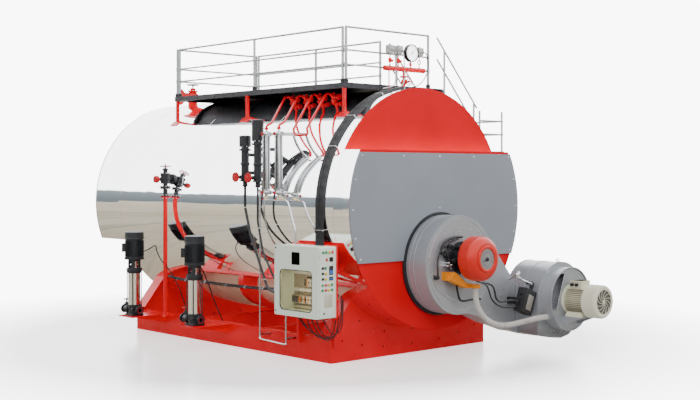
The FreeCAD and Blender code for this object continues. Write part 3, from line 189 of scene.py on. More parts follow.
def soft_light(name, place, aim, size, power):
    lamp = bpy.data.lights.new(name, "AREA")
    lamp.shape = "RECTANGLE"
    lamp.size, lamp.size_y = size
    lamp.energy = power
    light = bpy.data.objects.new(name, lamp)
    light.location = place
    light.rotation_euler = (Vector(aim) - Vector(place)).to_track_quat("-Z", "Y").to_euler()
    bpy.context.collection.objects.link(light)
    light.visible_glossy = False
    light.visible_camera = False


lens = bpy.data.cameras.new("camera")
lens.sensor_width = 36.0
lens.lens = 59.66
lens.shift_y = -0.037
lens.clip_end = 900.0
camera = bpy.data.objects.new("camera", lens)
camera.location = (-12.53, -14.94, 2.7)
camera.rotation_euler = (math.radians(90), 0, math.radians(-42.3))
bpy.context.collection.objects.link(camera)
bpy.context.scene.camera = camera

soft_light("key_light", (-9, -12, 11), (0, -1, 1.5), (9, 7), 1050)
soft_light("fill_light", (9, -13, 8), (0, -2, 1.5), (8, 6), 520)
soft_light("back_light", (-6, 10, 9), (0, 1, 2), (9, 6), 300)

sky = bpy.data.worlds.new("white_sky")
bpy.context.scene.world = sky
air = Nodes(sky)
toward = air.add("ShaderNodeTexCoord", out="Generated")
height = air.add("ShaderNodeSeparateXYZ", {}, {0: toward}, out="Z")
hills = air.add("ShaderNodeTexNoise", {}, {"Vector": toward, "Scale": 7.0, "Detail": 5.0})
horizon = air.add("ShaderNodeValToRGB", {}, {0: hills * -0.11 + height + 0.035})
bands = horizon.socket.node.color_ramp.elements
bands[0].color = (0.048, 0.056, 0.06, 1)
bands[1].position = 0.088
bands[1].color = (0.98, 0.99, 1.0, 1)
bands.new(0.078).color = (0.078, 0.088, 0.094, 1)
glossy = air.add("ShaderNodeLightPath", out="Is Glossy Ray")
direct = air.add("ShaderNodeLightPath", out="Is Camera Ray")
glow = sky.node_tree.nodes["Background"]
air.feed(glow.inputs["Color"], air.mixed(glossy, (1, 1, 1), horizon))
shine = air.add("ShaderNodeMix", {}, {0: glossy, 2: 0.62, 3: 5.6})
air.feed(glow.inputs["Strength"], air.add("ShaderNodeMix", {}, {0: direct, 2: shine, 3: 9.0}))


def solid(name, bm):
    """Turns a finished bmesh into an object."""
    mesh = bpy.data.meshes.new(name)
    bm.to_mesh(mesh)
    bm.free()
    obj = bpy.data.objects.new(name, mesh)
    bpy.context.collection.objects.link(obj)
    return obj


def ground(name, half, height, finish):
    bm = bmesh.new()
    bmesh.ops.create_grid(bm, x_segments=1, y_segments=1, size=half)
    bmesh.ops.translate(bm, verts=bm.verts, vec=(0, 0, height))
    plane = solid(name, bm)
    plane.data.materials.append(finish.material)
    return plane


pale = Finish("pale_floor", (0.93, 0.925, 0.92), 0.22, Specular_IOR_Level=0.35,
              Emission_Color=(1, 1, 1, 1), Emission_Strength=1.1)
span = pale.add("ShaderNodeVectorMath", {"operation": "LENGTH"}, {0: pale.place()}, out="Value")
white = pale.add("ShaderNodeEmission", {}, {"Color": (1, 1, 1, 1), "Strength": 9.0})
shown = pale.add("ShaderNodeMixShader", {}, {0: pale.ramp(span, 4.6, 8.5),
                                             1: Number(pale, pale.shader.outputs[0]), 2: white})
pale.feed(pale.tree.nodes["Material Output"].inputs[0], shown)
floor = ground("floor", 40, 0, pale)
floor.visible_glossy = False
floor.visible_diffuse = False

sand = Finish("yard_sand", (0.6, 0.53, 0.43), 0.9)
patches = sand.cloud(0.11, 8, rough=0.62)
streaks = sand.cloud(0.5, 6, (0.25, 1.6, 1), 0.7)
dry = sand.mixed(sand.ramp(patches, 0.38, 0.62), (0.74, 0.62, 0.43), (1.0, 0.91, 0.72))
sand.lay("Base Color", sand.mixed(sand.ramp(streaks, 0.52, 0.62) * 0.55, dry, (0.36, 0.32, 0.26)))
yard = ground("yard", 400, -0.002, sand)
yard.visible_camera = False
yard.visible_diffuse = False
yard.visible_shadow = False
yard.visible_transmission = False

# ---------------------------------------------------------------- Air hose
# A ribbed grey plastic hose that carries cooling air from the fan to the burner's head.
# It is pushed into a cast cup under the cap and into a socket on the fan, and hangs
# free between them.


def dress(node, finish):
    """Gives a CAD piece its finish."""
    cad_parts[node].data.materials.clear()
    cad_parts[node].data.materials.append(finish.material)


def keep(obj, finish, body="boiler", crease=35):
    """Makes a new piece part of the object."""
    if finish:
        obj.data.materials.append(finish.material)
    if obj.type == "MESH":
        obj.data.shade_smooth()
        obj.data.set_sharp_from_angle(angle=math.radians(crease))
    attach(obj, body)
    return obj


def made(name, bm, finish, body="boiler", crease=35):
    """Turns a finished bmesh into a piece."""
    bmesh.ops.recalc_face_normals(bm, faces=bm.faces)
    return keep(solid(name, bm), finish, body, crease)


def route(name, points):
    """A smooth line that follows a few points."""
    curve = bpy.data.curves.new(name, "CURVE")
    curve.dimensions = "3D"
    curve.resolution_u = 10
    line = curve.splines.new("NURBS")
    line.points.add(len(points) - 1)
    for spot, point in zip(line.points, points):
        spot.co = (*point, 1.0)
    line.order_u = 3
    line.use_endpoint_u = True
    obj = bpy.data.objects.new(name, curve)
    bpy.context.collection.objects.link(obj)
    return obj


def steps_along(points, step):
    """Evenly spaced places along a smooth line, each with its direction."""
    guide = route("guide", points)
    mesh = bpy.data.meshes.new_from_object(guide)
    line = [v.co.copy() for v in mesh.vertices]
    bpy.data.objects.remove(guide)
    bpy.data.meshes.remove(mesh)
    gone = [0.0]
    for first, second in zip(line, line[1:]):
        gone.append(gone[-1] + (second - first).length)
    count = max(2, round(gone[-1] / step))
    places = []
    leg = 0
    for i in range(count + 1):
        want = gone[-1] * i / count
        while leg < len(line) - 2 and gone[leg + 1] < want:
            leg += 1
        share = (want - gone[leg]) / (gone[leg + 1] - gone[leg])
        places.append(line[leg].lerp(line[leg + 1], share))
    ways = [(places[min(i + 1, count)] - places[max(i - 1, 0)]).normalized() for i in range(count + 1)]
    return places, ways, gone[-1]


hose_route = [(0.06, -3.789, 1.06), (0.06, -3.789, 0.912), (0.103, -3.797, 0.772),
              (0.186, -3.812, 0.648), (0.301, -3.835, 0.556), (0.441, -3.862, 0.5),
              (0.602, -3.893, 0.48), (0.802, -3.934, 0.496), (1.0, -3.983, 0.526),
              (1.19, -4.02, 0.553), (1.4, -4.02, 0.553)]
hose_r = 0.043
hose_places, hose_ways, hose_length = steps_along(hose_route, 0.0085)
bm = bmesh.new()
rings = []
for i, (place, way) in enumerate(zip(hose_places, hose_ways)):
    radius = hose_r * (1.0 if i % 3 == 1 else 0.88)
    turn = way.to_track_quat("Z", "Y").to_matrix().to_4x4()
    ring = bmesh.ops.create_circle(bm, segments=24, radius=radius,
                                   matrix=Matrix.Translation(place) @ turn,
                                   cap_ends=i in (0, len(hose_places) - 1))
    edges = set(edge for vert in ring["verts"] for edge in vert.link_edges)
    if rings:
        bmesh.ops.bridge_loops(bm, edges=list(rings[-1] | edges))
    rings.append(edges)
hose_grey = painted("ribbed_hose", (0.6, 0.575, 0.53), 0.5, wear=0.12, grain=0.0006)
grime = hose_grey.cloud(4.0, 5, rough=0.7)
hose_grey.lay("Base Color", hose_grey.mixed(hose_grey.ramp(grime, 0.5, 0.75), hose_grey.base,
                                            (0.27, 0.25, 0.225)))
hose = made("air_hose_ribbed", bm, hose_grey, crease=60)
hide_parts("air_hose")

# ---------------------------------------------------------------- Skid
# Two rolled channels with cross members and two saddles, cut from plate, welded and
# sprayed gloss red. The saddles' rims carry the body; shelves outside carry the pumps.
red_colour = (0.88, 0.0005, 0.01)
red = painted("red_enamel", red_colour, 0.25, wear=0.08, grain=0.0002, edge=0.004)
low_dust = red.ramp(red.along("Z"), 0.45, 0.0) * red.ramp(red.cloud(5, 5), 0.45, 0.75)
red.lay("Base Color", red.mixed(low_dust * 0.07, red.base, (0.42, 0.16, 0.12)))
for node in ("skid_rail_left", "skid_rail_right", "skid_cross_members", "saddle_front",
             "saddle_rear", "pump_shelves", "platform_posts", "cabinet_frame", "feed_pipe"):
    dress(node, red)


def bar(bm, start, end, radius, sides=16, radius2=None):
    """A round bar between two points, or a cone."""
    start, end = Vector(start), Vector(end)
    way = end - start
    turn = way.to_track_quat("Z", "Y").to_matrix().to_4x4()
    place = Matrix.Translation((start + end) / 2) @ turn
    bmesh.ops.create_cone(bm, cap_ends=True, segments=sides, radius1=radius,
                          radius2=radius if radius2 is None else radius2, depth=way.length,
                          matrix=place)


def block(bm, middle, half, soft=0.0, turn=None):
    """A box about a place, with its edges rounded, given its half sizes."""
    place = Matrix.Translation(middle) @ (turn or Matrix())
    size = [2 * abs(a) for a in half]
    verts = bmesh.ops.create_cube(bm, size=1.0, matrix=place @ Matrix.Diagonal((*size, 1)))["verts"]
    if soft:
        edges = dict.fromkeys(edge for vert in verts for edge in vert.link_edges)
        bmesh.ops.bevel(bm, geom=list(edges), offset=soft, affect="EDGES", segments=2,
                        profile=0.5, material=-1)


def slab(bm, low, high, soft=0.0, turn=None):
    """A box between two corners."""
    low, high = Vector(low), Vector(high)
    block(bm, (low + high) / 2, (high - low) / 2, soft, turn)


def peg(bm, place, reach, radius, sides=16, radius2=None):
    """A round bar from a place, as far as it reaches."""
    bar(bm, place, Vector(place) + Vector(reach), radius, sides, radius2)


def circle(count, radius, start=0.0):
    """Even places on a circle, as pairs. The start is a share of the gap between two."""
    angles = [2 * math.pi * (i + start) / count for i in range(count)]
    return [(radius * math.cos(angle), radius * math.sin(angle)) for angle in angles]


front, back = Vector((0, -1, 0)), Vector((0, 1, 0))
left, up = Vector((-1, 0, 0)), Vector((0, 0, 1))


def turned(bm, outline, centre, way, steps=48):
    """A shape turned on a lathe: (radius, height) points spun about an axis."""
    for vert in bm.verts:
        vert.tag = True
    turn = Vector(way).to_track_quat("Z", "Y").to_matrix().to_4x4()
    verts = [bm.verts.new((radius, 0, height)) for radius, height in outline]
    edges = [bm.edges.new(pair) for pair in zip(verts, verts[1:])]
    bmesh.ops.spin(bm, geom=verts + edges, cent=(0, 0, 0), axis=(0, 0, 1),
                   angle=2 * math.pi, steps=steps, use_merge=True)
    new = [vert for vert in bm.verts if not vert.tag]
    bmesh.ops.remove_doubles(bm, verts=new, dist=0.00005)
    new = [vert for vert in bm.verts if not vert.tag]
    bmesh.ops.transform(bm, matrix=Matrix.Translation(centre) @ turn, verts=new)


def hex_head(bm, place, way, size, height):
    """A bolt's hexagon head on its washer."""
    place, way = Vector(place), Vector(way).normalized()
    bar(bm, place, place + way * height * 0.25, size * 1.35, 14)
    bar(bm, place + way * height * 0.25, place + way * height, size, 6)


def round_pipe(name, points, radius, finish):
    """A pipe or a fixed cable that follows a few points in smooth bends."""
    pipe = route(name, points)
    pipe.data.bevel_depth = radius
    pipe.data.bevel_resolution = 3
    pipe.data.use_fill_caps = True
    keep(pipe, finish)


weld = painted("weld_red", red_colour, 0.3, wear=0.2, grain=0.003)
# Dark discs just inside the saddles' bolt holes: painted shade, so the holes read dark as if deep in
# shadow.
bm = bmesh.new()
for x, z in ((0, 0.136), (0.6, 0.15), (1.03, 0.21), (1.42, 0.306), (0, 0.364),
             (0.58, 0.373), (1.08, 0.564)):
    for side in ((1,) if x == 0 else (-1, 1)):
        for end in (-1, 1):
            peg(bm, (side * x, end * 2.554, z), (0, end * -0.008, 0), 0.0148)
made("saddle_hole_shade", bm, painted("hole_shade_dark", (0.012, 0.01, 0.01), 0.6, edge=0.0))
bm = bmesh.new()
rail_low, rail_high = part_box("skid_rail_left")
for side in (-1, 1):
    x = side * (abs(rail_low.x) - 0.022)
    for y in (-0.91, -0.79, 0.79, 0.91):
        peg(bm, (x, y, 0.02), up * 0.31, 0.006, 8)
for y in (-2.311, 2.311):
    for x in (-1.6, 1.5):
        peg(bm, (x, y, rail_high.z + 0.002), (0.1, 0, 0), 0.007, 8)
made("skid_weld_beads", bm, weld)

# ---------------------------------------------------------------- Body and doors
# The drum is lagged and clad in mirror-polished stainless sheet that waves a little
# between its seams. The front plate and door are red, with their sides clad; grey
# sheets on small screws cover the door's upper part and the back.
mirror_colour = (0.94, 0.945, 0.95)


def polished(name, colour=mirror_colour, roughness=0.03, ripple=0.012):
    finish = Finish(name, colour, roughness, 1.0)
    smear = finish.cloud(2.2, 6, rough=0.7)
    finish.lay("Roughness", roughness + finish.ramp(smear, 0.5, 0.85) * 0.06)
    finish.lay("Base Color", finish.mixed(finish.ramp(finish.cloud(0.9, 4), 0.3, 0.7),
                                          tint(colour, 0.96), colour))
    waves = finish.cloud(0.8, 2, (0.4, 1, 1)) + finish.cloud(3.2, 1, (0.5, 1, 1)) * 0.12
    finish.relief(waves, 0.6, ripple)
    return finish


mirror = polished("polished_cladding")
for node in ("boiler_shell", "front_smoke_box", "rear_smoke_box", "rear_end_plate"):
    dress(node, mirror)


def red_face(name, node):
    """Red enamel on a plate's front face, and polished sheet round its side."""
    low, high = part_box(node)
    # The red is 0.88 of the skid's red: painted shade, darker to offset the key light that falls
    # strongest on these front faces.
    finish = painted(name, tint(red_colour, 0.88), 0.3, wear=0.06, grain=0.0004,
                     edge=0.003, Specular_IOR_Level=0.1)
    side = (finish.along("Y") > low.y + 0.003) * (finish.along("Z") < high.z - 0.003)
    finish.lay("Base Color", finish.mixed(side, finish.base, mirror_colour))
    finish.lay("Metallic", side)
    finish.lay("Roughness", 0.26 - side * 0.2)
    dress(node, finish)


red_face("door_red", "front_door")
red_face("plate_red", "front_end_plate")

grey_sheet = painted("grey_sheet", (0.285, 0.31, 0.35), 0.42, wear=0.04, grain=0.0003, edge=0.008)
dress("front_cover_sheet", grey_sheet)
dress("rear_cover", grey_sheet)
grey_paint = painted("grey_paint", (0.36, 0.375, 0.4), 0.33, 0.25, wear=0.1)
dress("flue_outlet", grey_paint)

screw = painted("zinc_screw", (0.45, 0.46, 0.47), 0.35, 0.8, wear=0.2, edge=0.0)
bm = bmesh.new()
cover_low, cover_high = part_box("front_cover_sheet")
rear_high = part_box("rear_cover")[1]
axis_z = (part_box("boiler_shell")[0].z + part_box("boiler_shell")[1].z) / 2
body_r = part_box("boiler_shell")[1].x
spots = [(x, cover_high.z - 0.05) for x in (-0.75, 0, 0.75)] + [(0, 2.2)]
for z in (cover_high.z - 0.05, 2.62, axis_z, 1.8, cover_low.z + 0.05):
    half = math.sqrt((body_r - 0.055) ** 2 - (z - axis_z) ** 2)
    spots += [(-half, z), (half, z)]
for x, z in spots:
    peg(bm, (x, cover_low.y, z), front * 0.007, 0.014, 16, 0.009)
for x, z in circle(20, body_r - 0.06, -1)[:13]:
    peg(bm, (x, rear_high.y, axis_z + z), back * 0.007, 0.014, 16, 0.009)
made("cover_screws", bm, screw)

bm = bmesh.new()
for y in (-0.88, 1.0, 2.86):
    turned(bm, [(body_r - 0.004, -0.02), (body_r + 0.0022, -0.018), (body_r + 0.0022, 0.018),
                (body_r - 0.004, 0.02)], (0, y, axis_z), back, 160)
made("cladding_seams", bm, mirror, crease=20)

# ---------------------------------------------------------------- Burner
# A rolled sheet windbox bolted to the door over a dark seal ring, with the firing head
# under a moulded red cap. Black cables and a thin steel line run over its face to a
# cast orange arm that holds the air hose.
dress("burner_windbox", grey_paint)
dark = painted("dark_steel", (0.022, 0.023, 0.026), 0.4, wear=0.3)
dress("burner_ring", dark)
dress("burner_head", dark)
cap_low, cap_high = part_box("burner_cap")
box_low, box_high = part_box("burner_windbox")
face_y = box_low.y
head_z = (cap_low.z + cap_high.z) / 2
drum_z = (box_low.z + box_high.z) / 2
drum_r = box_high.x - 0.007
cap_red = painted("cap_red", (0.74, 0.022, 0.012), 0.36, wear=0.05, grain=0.0003, edge=0.003,
                  Specular_IOR_Level=0.3)
dress("burner_cap", cap_red)
orange = painted("orange_cast", (0.95, 0.3, 0.008), 0.42, wear=0.15, grain=0.0012)
dress("burner_bracket", orange)

bm = bmesh.new()
turned(bm, [(0.15, -0.002), (0.15, 0.012), (0.157, 0.02), (0.186, 0.02), (0.194, 0.01),
            (0.194, -0.004)], (0, cap_low.y, head_z), front, 64)
made("cap_ring", bm, cap_red)
disc = painted("cap_disc", (0.3, 0.3, 0.31), 0.3, 0.5, wear=0.1)
reach = disc.add("ShaderNodeVectorMath", {"operation": "DISTANCE"},
                 {0: disc.place(), 1: (0, cap_low.y, head_z)}, out="Value")
band = (reach > 0.095) * (reach < 0.101) + (reach > 0.132) * (reach < 0.136)
disc.lay("Base Color", disc.mixed(band, disc.base, (0.05, 0.05, 0.05)))
bm = bmesh.new()
turned(bm, [(0.0, 0.006), (0.15, 0.006)], (0, cap_low.y, head_z), front, 64)
made("cap_disc", bm, disc)
bm = bmesh.new()
turned(bm, [(0.0, 0.034), (0.016, 0.034), (0.021, 0.029), (0.021, 0.012), (0.034, 0.006)],
       (0, cap_low.y, head_z), front, 24)
bar(bm, (0.004, cap_low.y - 0.016, head_z), (-0.075, cap_low.y - 0.016, head_z - 0.028), 0.006, 8)
made("cap_knob", bm, dark)

seam = drum_r + 0.002
bm = bmesh.new()
for y, width in ((face_y + 0.03, 0.016), (face_y + 0.345, 0.014)):
    turned(bm, [(drum_r - 0.003, -width), (seam, -width), (seam + 0.003, 0), (seam, width),
                (drum_r - 0.003, width)], (0, y, drum_z), back, 96)
turned(bm, [(drum_r - 0.06, 0.0), (drum_r - 0.058, 0.004), (drum_r - 0.05, 0.004),
            (drum_r - 0.048, 0.0)], (0, face_y, drum_z), front, 96)
block(bm, (-0.4, -3.38, 1.935), (0.07, 0.04, 0.02), 0.006, Matrix.Rotation(math.radians(-33), 4, "Y"))
made("windbox_seams", bm, grey_paint)

bm = bmesh.new()
for x, z in ((-0.333, 1.898), (-0.037, 1.91), (-0.037, 1.862), (0.223, 1.879), (-0.655, 1.52),
             (-0.628, 1.27), (-0.585, 1.29), (-0.11, 0.735), (0.02, 0.735), (0.4, 1.85),
             (0.62, 1.45), (0.6, 1.2), (-0.45, 0.93)):
    hex_head(bm, (x, face_y, z), front, 0.011, 0.012)
duct_y = -3.539
for x, z in ((1.06, 1.07), (0.99, 0.97), (0.92, 0.87), (0.7, 1.3), (0.62, 0.62)):
    hex_head(bm, (x, duct_y, z), front, 0.012, 0.014)
made("burner_bolts", bm, screw)
bm = bmesh.new()
for x, z in circle(20, 0.738, 0.5):
    hex_head(bm, (x, -3.161, drum_z + z), front, 0.007, 0.008)
made("ring_bolts", bm, dark)

bm = bmesh.new()
for i in range(6):
    turn = Matrix.Rotation(math.radians(60 * i + 20), 4, "Y")
    place = Vector((0, face_y - 0.06, head_z)) + turn @ up * 0.205
    block(bm, place, (0.03, 0.035, 0.03), 0.008, turn)
    peg(bm, place, turn @ up * 0.05, 0.012, 10)
slab(bm, (-0.37, face_y - 0.085, 1.5), (-0.25, face_y, 1.6), 0.01)
slab(bm, (-0.575, face_y - 0.06, 1.2), (-0.515, face_y, 1.26), 0.01)
slab(bm, (-0.3, face_y - 0.05, 1.63), (-0.21, face_y, 1.69), 0.008)
peg(bm, (-0.545, face_y - 0.03, 1.23), front * 0.045, 0.022, 12)
made("burner_fittings", bm, dark)
bm = bmesh.new()
for x, z in ((-0.33, 1.43), (-0.29, 1.4), (-0.36, 1.39)):
    peg(bm, (x, face_y, z), front * 0.085, 0.016, 12)
    peg(bm, (x, face_y - 0.085, z), front * 0.02, 0.009, 10)
bar(bm, (-0.33, face_y - 0.05, 1.45), (-0.17, face_y - 0.05, 1.48), 0.01, 10)
made("burner_nipples", bm, smooth("bright_steel", (0.78, 0.78, 0.77), 0.1, 0.28, 1.0))

cable = painted("cable_black", (0.014, 0.014, 0.015), 0.5, wear=0.3, grain=0.0004, edge=0.0)
for i, (points, radius) in enumerate((
        (((0.0, 0.03, 1.79), (-0.16, 0.06, 1.8), (-0.33, 0.06, 1.77), (-0.43, 0.05, 1.7),
          (-0.46, 0.03, 1.6), (-0.42, 0.04, 1.54), (-0.36, 0.05, 1.55)), 0.016),
        (((-0.1, 0.03, 1.76), (-0.25, 0.07, 1.76), (-0.36, 0.06, 1.68), (-0.47, 0.05, 1.62),
          (-0.52, 0.03, 1.5), (-0.55, 0.06, 1.35), (-0.545, 0.06, 1.26)), 0.012),
        (((-0.22, 0.03, 1.66), (-0.34, 0.05, 1.62), (-0.4, 0.06, 1.54), (-0.36, 0.05, 1.46),
          (-0.27, 0.03, 1.45)), 0.009),
        (((-0.31, 0.03, 1.5), (-0.36, 0.06, 1.38), (-0.28, 0.07, 1.3), (-0.18, 0.06, 1.36),
          (-0.14, 0.03, 1.42)), 0.008),
        (((-0.2, 0.1, 1.1), (-0.17, 0.1, 0.98), (-0.13, 0.1, 0.88), (-0.02, 0.1, 0.865),
          (0.16, 0.1, 0.885), (0.3, 0.12, 0.875)), 0.016),
        (((0.2, 0.241, 1.13), (0.4, 0.241, 1.1), (0.47, 0.241, 1.0), (0.5, 0.241, 0.86),
          (0.62, 0.241, 0.81), (0.82, 0.261, 0.84), (0.985, 0.291, 0.8)), 0.013),
        (((0.02, 0.291, 1.16), (0.22, 0.281, 1.12), (0.34, 0.241, 1.02), (0.42, 0.231, 0.84),
          (0.64, 0.231, 0.73), (0.84, 0.261, 0.72), (0.99, 0.291, 0.74)), 0.011))):
    line = [(x, face_y - gap, z) for x, gap, z in points]
    round_pipe(f"burner_cable_{i}", line, radius, cable)
steel = smooth("steel_line", (0.57, 0.57, 0.56), 0.2, 0.4, 1.0)
round_pipe("steel_line", ((-0.655, face_y - 0.006, 1.51), (-0.61, face_y - 0.008, 1.18),
                          (-0.4, face_y - 0.008, 0.97), (-0.14, face_y - 0.01, 0.875)),
           0.005, steel)

# ---------------------------------------------------------------- Fan
# A sheet steel scroll with a round inlet hood, driven by a ribbed motor on a bracket.
# The air leaves through the sloping duct to the windbox; a black servo box on the duct
# moves its damper by a rod.
for node in ("air_duct", "fan_casing", "fan_inlet_hood"):
    dress(node, grey_paint)
scroll = painted("fan_grey", (0.36, 0.375, 0.4), 0.33, 0.25, wear=0.1)
# The lower part of the scroll is painted up to 70% darker, toward near-black: painted shade on its
# underside.
underside_shade = scroll.ramp(scroll.along("Z"), 0.5, 0.3)
scroll.lay("Base Color", scroll.mixed(underside_shade * 0.7, scroll.base, (0.12, 0.125, 0.135)))
dress("fan_casing", scroll)
fan_x, fan_z = 1.84, 0.8
fan_front, fan_back = -3.955, -3.31
bm = bmesh.new()
for y in (fan_front + 0.012, fan_back - 0.012, (fan_front + fan_back) / 2):
    turned(bm, [(0.546, -0.012), (0.556, -0.012), (0.556, 0.012), (0.546, 0.012)],
           (fan_x, y, fan_z), back, 72)
turned(bm, [(0.474, -0.002), (0.486, -0.002), (0.486, 0.02), (0.474, 0.02)],
       (fan_x, fan_front - 0.175, fan_z), front, 72)
for first, second in (((-0.13, 0.4), (-0.33, -0.14)), ((-0.33, -0.14), (-0.458, -0.14)),
                      ((-0.13, 0.4), (-0.265, 0.4))):
    bar(bm, (fan_x + first[0], fan_front - 0.175, fan_z + first[1]),
        (fan_x + second[0], fan_front - 0.175, fan_z + second[1]), 0.006, 8)
slab(bm, (1.268, -3.545, 0.288), (1.292, -3.16, 0.3), 0.002)
slab(bm, (1.268, -3.56, 0.288), (1.296, duct_y, 1.02), 0.002)
made("fan_flanges", bm, grey_paint)
bm = bmesh.new()
for x, z in circle(18, 0.515, 0.5):
    hex_head(bm, (fan_x + x, fan_front, fan_z + z), front, 0.009, 0.01)
for i in range(6):
    hex_head(bm, (1.282, -3.56, 0.36 + 0.12 * i), front, 0.008, 0.009)
made("fan_bolts", bm, screw)
guard = painted("inlet_guard", (0.78, 0.79, 0.85), 0.4, 0.1)
holes = guard.waves("X", 14.0) * guard.waves("Z", 14.0)
guard.lay("Base Color", guard.mixed(guard.ramp(holes, 0.55, 0.7), guard.base, (0.1, 0.1, 0.11)))
bm = bmesh.new()
turned(bm, [(0.0, 0.002), (0.318, 0.002), (0.318, 0.0)], (fan_x, fan_front, fan_z), front, 64)
for x, z in circle(12, 0.308):
    hex_head(bm, (fan_x + x, fan_front - 0.002, fan_z + z), front, 0.006, 0.005)
made("inlet_guard", bm, guard)

cream = painted("motor_cream", (0.88, 0.86, 0.66), 0.42, wear=0.08, grain=0.0005)
dress("fan_motor", cream)
motor_low, motor_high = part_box("fan_motor")
fin_front, fin_back = -4.5, -4.185
fins = painted("motor_fins", (0.36, 0.33, 0.25), 0.55, wear=0.2)
bm = bmesh.new()
for i in range(44):
    angle = 2 * math.pi * i / 44
    if abs(math.sin(angle)) < 0.55 and math.cos(angle) > 0:
        continue
    turn = Matrix.Rotation(angle, 4, "Y")
    middle = Vector((fan_x, (fin_front + fin_back) / 2, fan_z)) + turn @ up * 0.205
    block(bm, middle, (0.0025, 0.157, 0.02), turn=turn)
made("motor_fins", bm, fins)
cowl_y = motor_low.y
recess = 0.012
bm = bmesh.new()
peg(bm, (fan_x, cowl_y - 0.02, fan_z), back * (0.02 + recess), 0.18, 64)
cutter = made("cowl_cutter", bm, None)
cutter.hide_render = True
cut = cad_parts["fan_motor"].modifiers.new("cowl_recess", "BOOLEAN")
cut.object = cutter
bm = bmesh.new()
turned(bm, [(0.0, 0.0005), (0.18, 0.0005)], (fan_x, cowl_y + recess, fan_z), front)
made("cowl_dark", bm, painted("cowl_shade", (0.1, 0.092, 0.085), 0.6))
bm = bmesh.new()
for i in range(12):
    spots = []
    for k in range(7):
        turn = Matrix.Rotation(2 * math.pi * i / 12 + 0.15 * k, 4, "Y")
        spots.append(Vector((fan_x, cowl_y + 0.0055, fan_z)) + turn @ up * (0.022 + 0.0263 * k))
    for first, second in zip(spots, spots[1:]):
        bar(bm, first, second, 0.0036, 6)
turned(bm, [(0.0, -0.001), (0.02, -0.001), (0.024, -recess)], (fan_x, cowl_y, fan_z), front, 32)
made("cowl_grille", bm, cream)
bm = bmesh.new()
slab(bm, (fan_x - 0.125, -4.22, motor_high.z - 0.022), (fan_x + 0.125, -4.412, motor_high.z), 0.006)
for x in (fan_x - 0.16, fan_x + 0.16):
    for y in (-4.22, -4.43):
        block(bm, (x, y, 0.57775), (0.035, 0.035, 0.02225), 0.006)
for y in (-4.165, -4.505):
    turned(bm, [(0.196, -0.012), (0.222, -0.01), (0.222, 0.01), (0.196, 0.012)],
           (fan_x, y, fan_z), back)
made("motor_fittings", bm, cream)
bm = bmesh.new()
for y in (-4.265, -4.345):
    peg(bm, (fan_x - 0.112, y, 1.035), (-0.038, 0, 0), 0.024, 14)
    peg(bm, (fan_x - 0.15, y, 1.035), (-0.015, 0, 0), 0.016, 14)
made("motor_glands", bm, dark)

dress("damper_control_box", dark)
tilt = Matrix.Rotation(math.radians(22), 4, "Y")
box_centre = Vector((1.11, -3.85, 0.794))
plain_plate = painted("plate_grey", (0.27, 0.245, 0.215), 0.45, 0.2, wear=0.1)
bm = bmesh.new()
block(bm, box_centre + tilt @ Vector((0.02, -0.0755, -0.01)), (0.062, 0.0015, 0.115), 0.001, tilt)
made("servo_plate", bm, plain_plate)
bm = bmesh.new()
for x in (-0.105, 0.105):
    for z in (-0.155, 0.155):
        peg(bm, box_centre + tilt @ Vector((x, -0.075, z)), front * 0.006, 0.01, 12)
block(bm, box_centre + front * 0.005, (0.128, 0.045, 0.183), 0.006, tilt)
for z in (-0.08, 0.0, 0.08):
    peg(bm, box_centre + tilt @ Vector((-0.125, 0.0, z)), tilt @ Vector((-0.035, 0, 0)), 0.017, 12)
made("servo_fittings", bm, dark)
bm = bmesh.new()
links_at = [(1.185, -3.89, 1.06), (1.06, -3.8, 1.13), (0.99, -3.78, 1.19), (1.1, -3.72, 1.22)]
for first, second in zip(links_at, links_at[1:]):
    bar(bm, first, second, 0.009, 10)
for spot in links_at:
    peg(bm, Vector(spot) + front * 0.022, back * 0.044, 0.02, 14)
bar(bm, (1.1, -3.75, 1.22), (1.1, duct_y, 1.1), 0.012, 12)
slab(bm, (0.965, -3.8, 1.155), (1.035, -3.765, 1.215), 0.005)
made("damper_linkage", bm, steel)

# ---------------------------------------------------------------- Platform
# A dark chequer plate deck on an edge frame, held off the body by welded red posts.
# Railings of galvanised tube stand on it in black screwed feet, joined by clamp tees.
deck_dark = painted("deck_dark", (0.032, 0.033, 0.037), 0.48, 0.2, wear=0.35)
lozenge = [deck_dark.waves(way, 9.0, turn=(0, 0, math.radians(45))) for way in ("X", "Y")]
on_top = deck_dark.along("Z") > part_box("platform_deck")[1].z - 0.001
deck_dark.relief(lozenge[0] * lozenge[1] * on_top, 0.5, 0.002, 0.003)
dress("platform_deck", deck_dark)


def zinc(name, foot_z=None):
    """Hot-dip zinc: pale grey with soft spangles, over black feet where they end low."""
    finish = painted(name, (0.33, 0.345, 0.36), 0.42, 0.6, wear=0.1, grain=0.0003, edge=0.001)
    cells = finish.add("ShaderNodeTexVoronoi", {}, {"Vector": finish.place(), "Scale": 55.0})
    finish.base = finish.mixed(finish.ramp(cells, 0.2, 0.9) * 0.5, finish.base, (0.24, 0.25, 0.26))
    finish.lay("Base Color", finish.base)
    if foot_z:
        foot = finish.along("Z") < foot_z
        finish.lay("Base Color", finish.mixed(foot, finish.base, (0.02, 0.02, 0.022)))
        finish.lay("Metallic", 0.6 - foot * 0.6)
    return finish


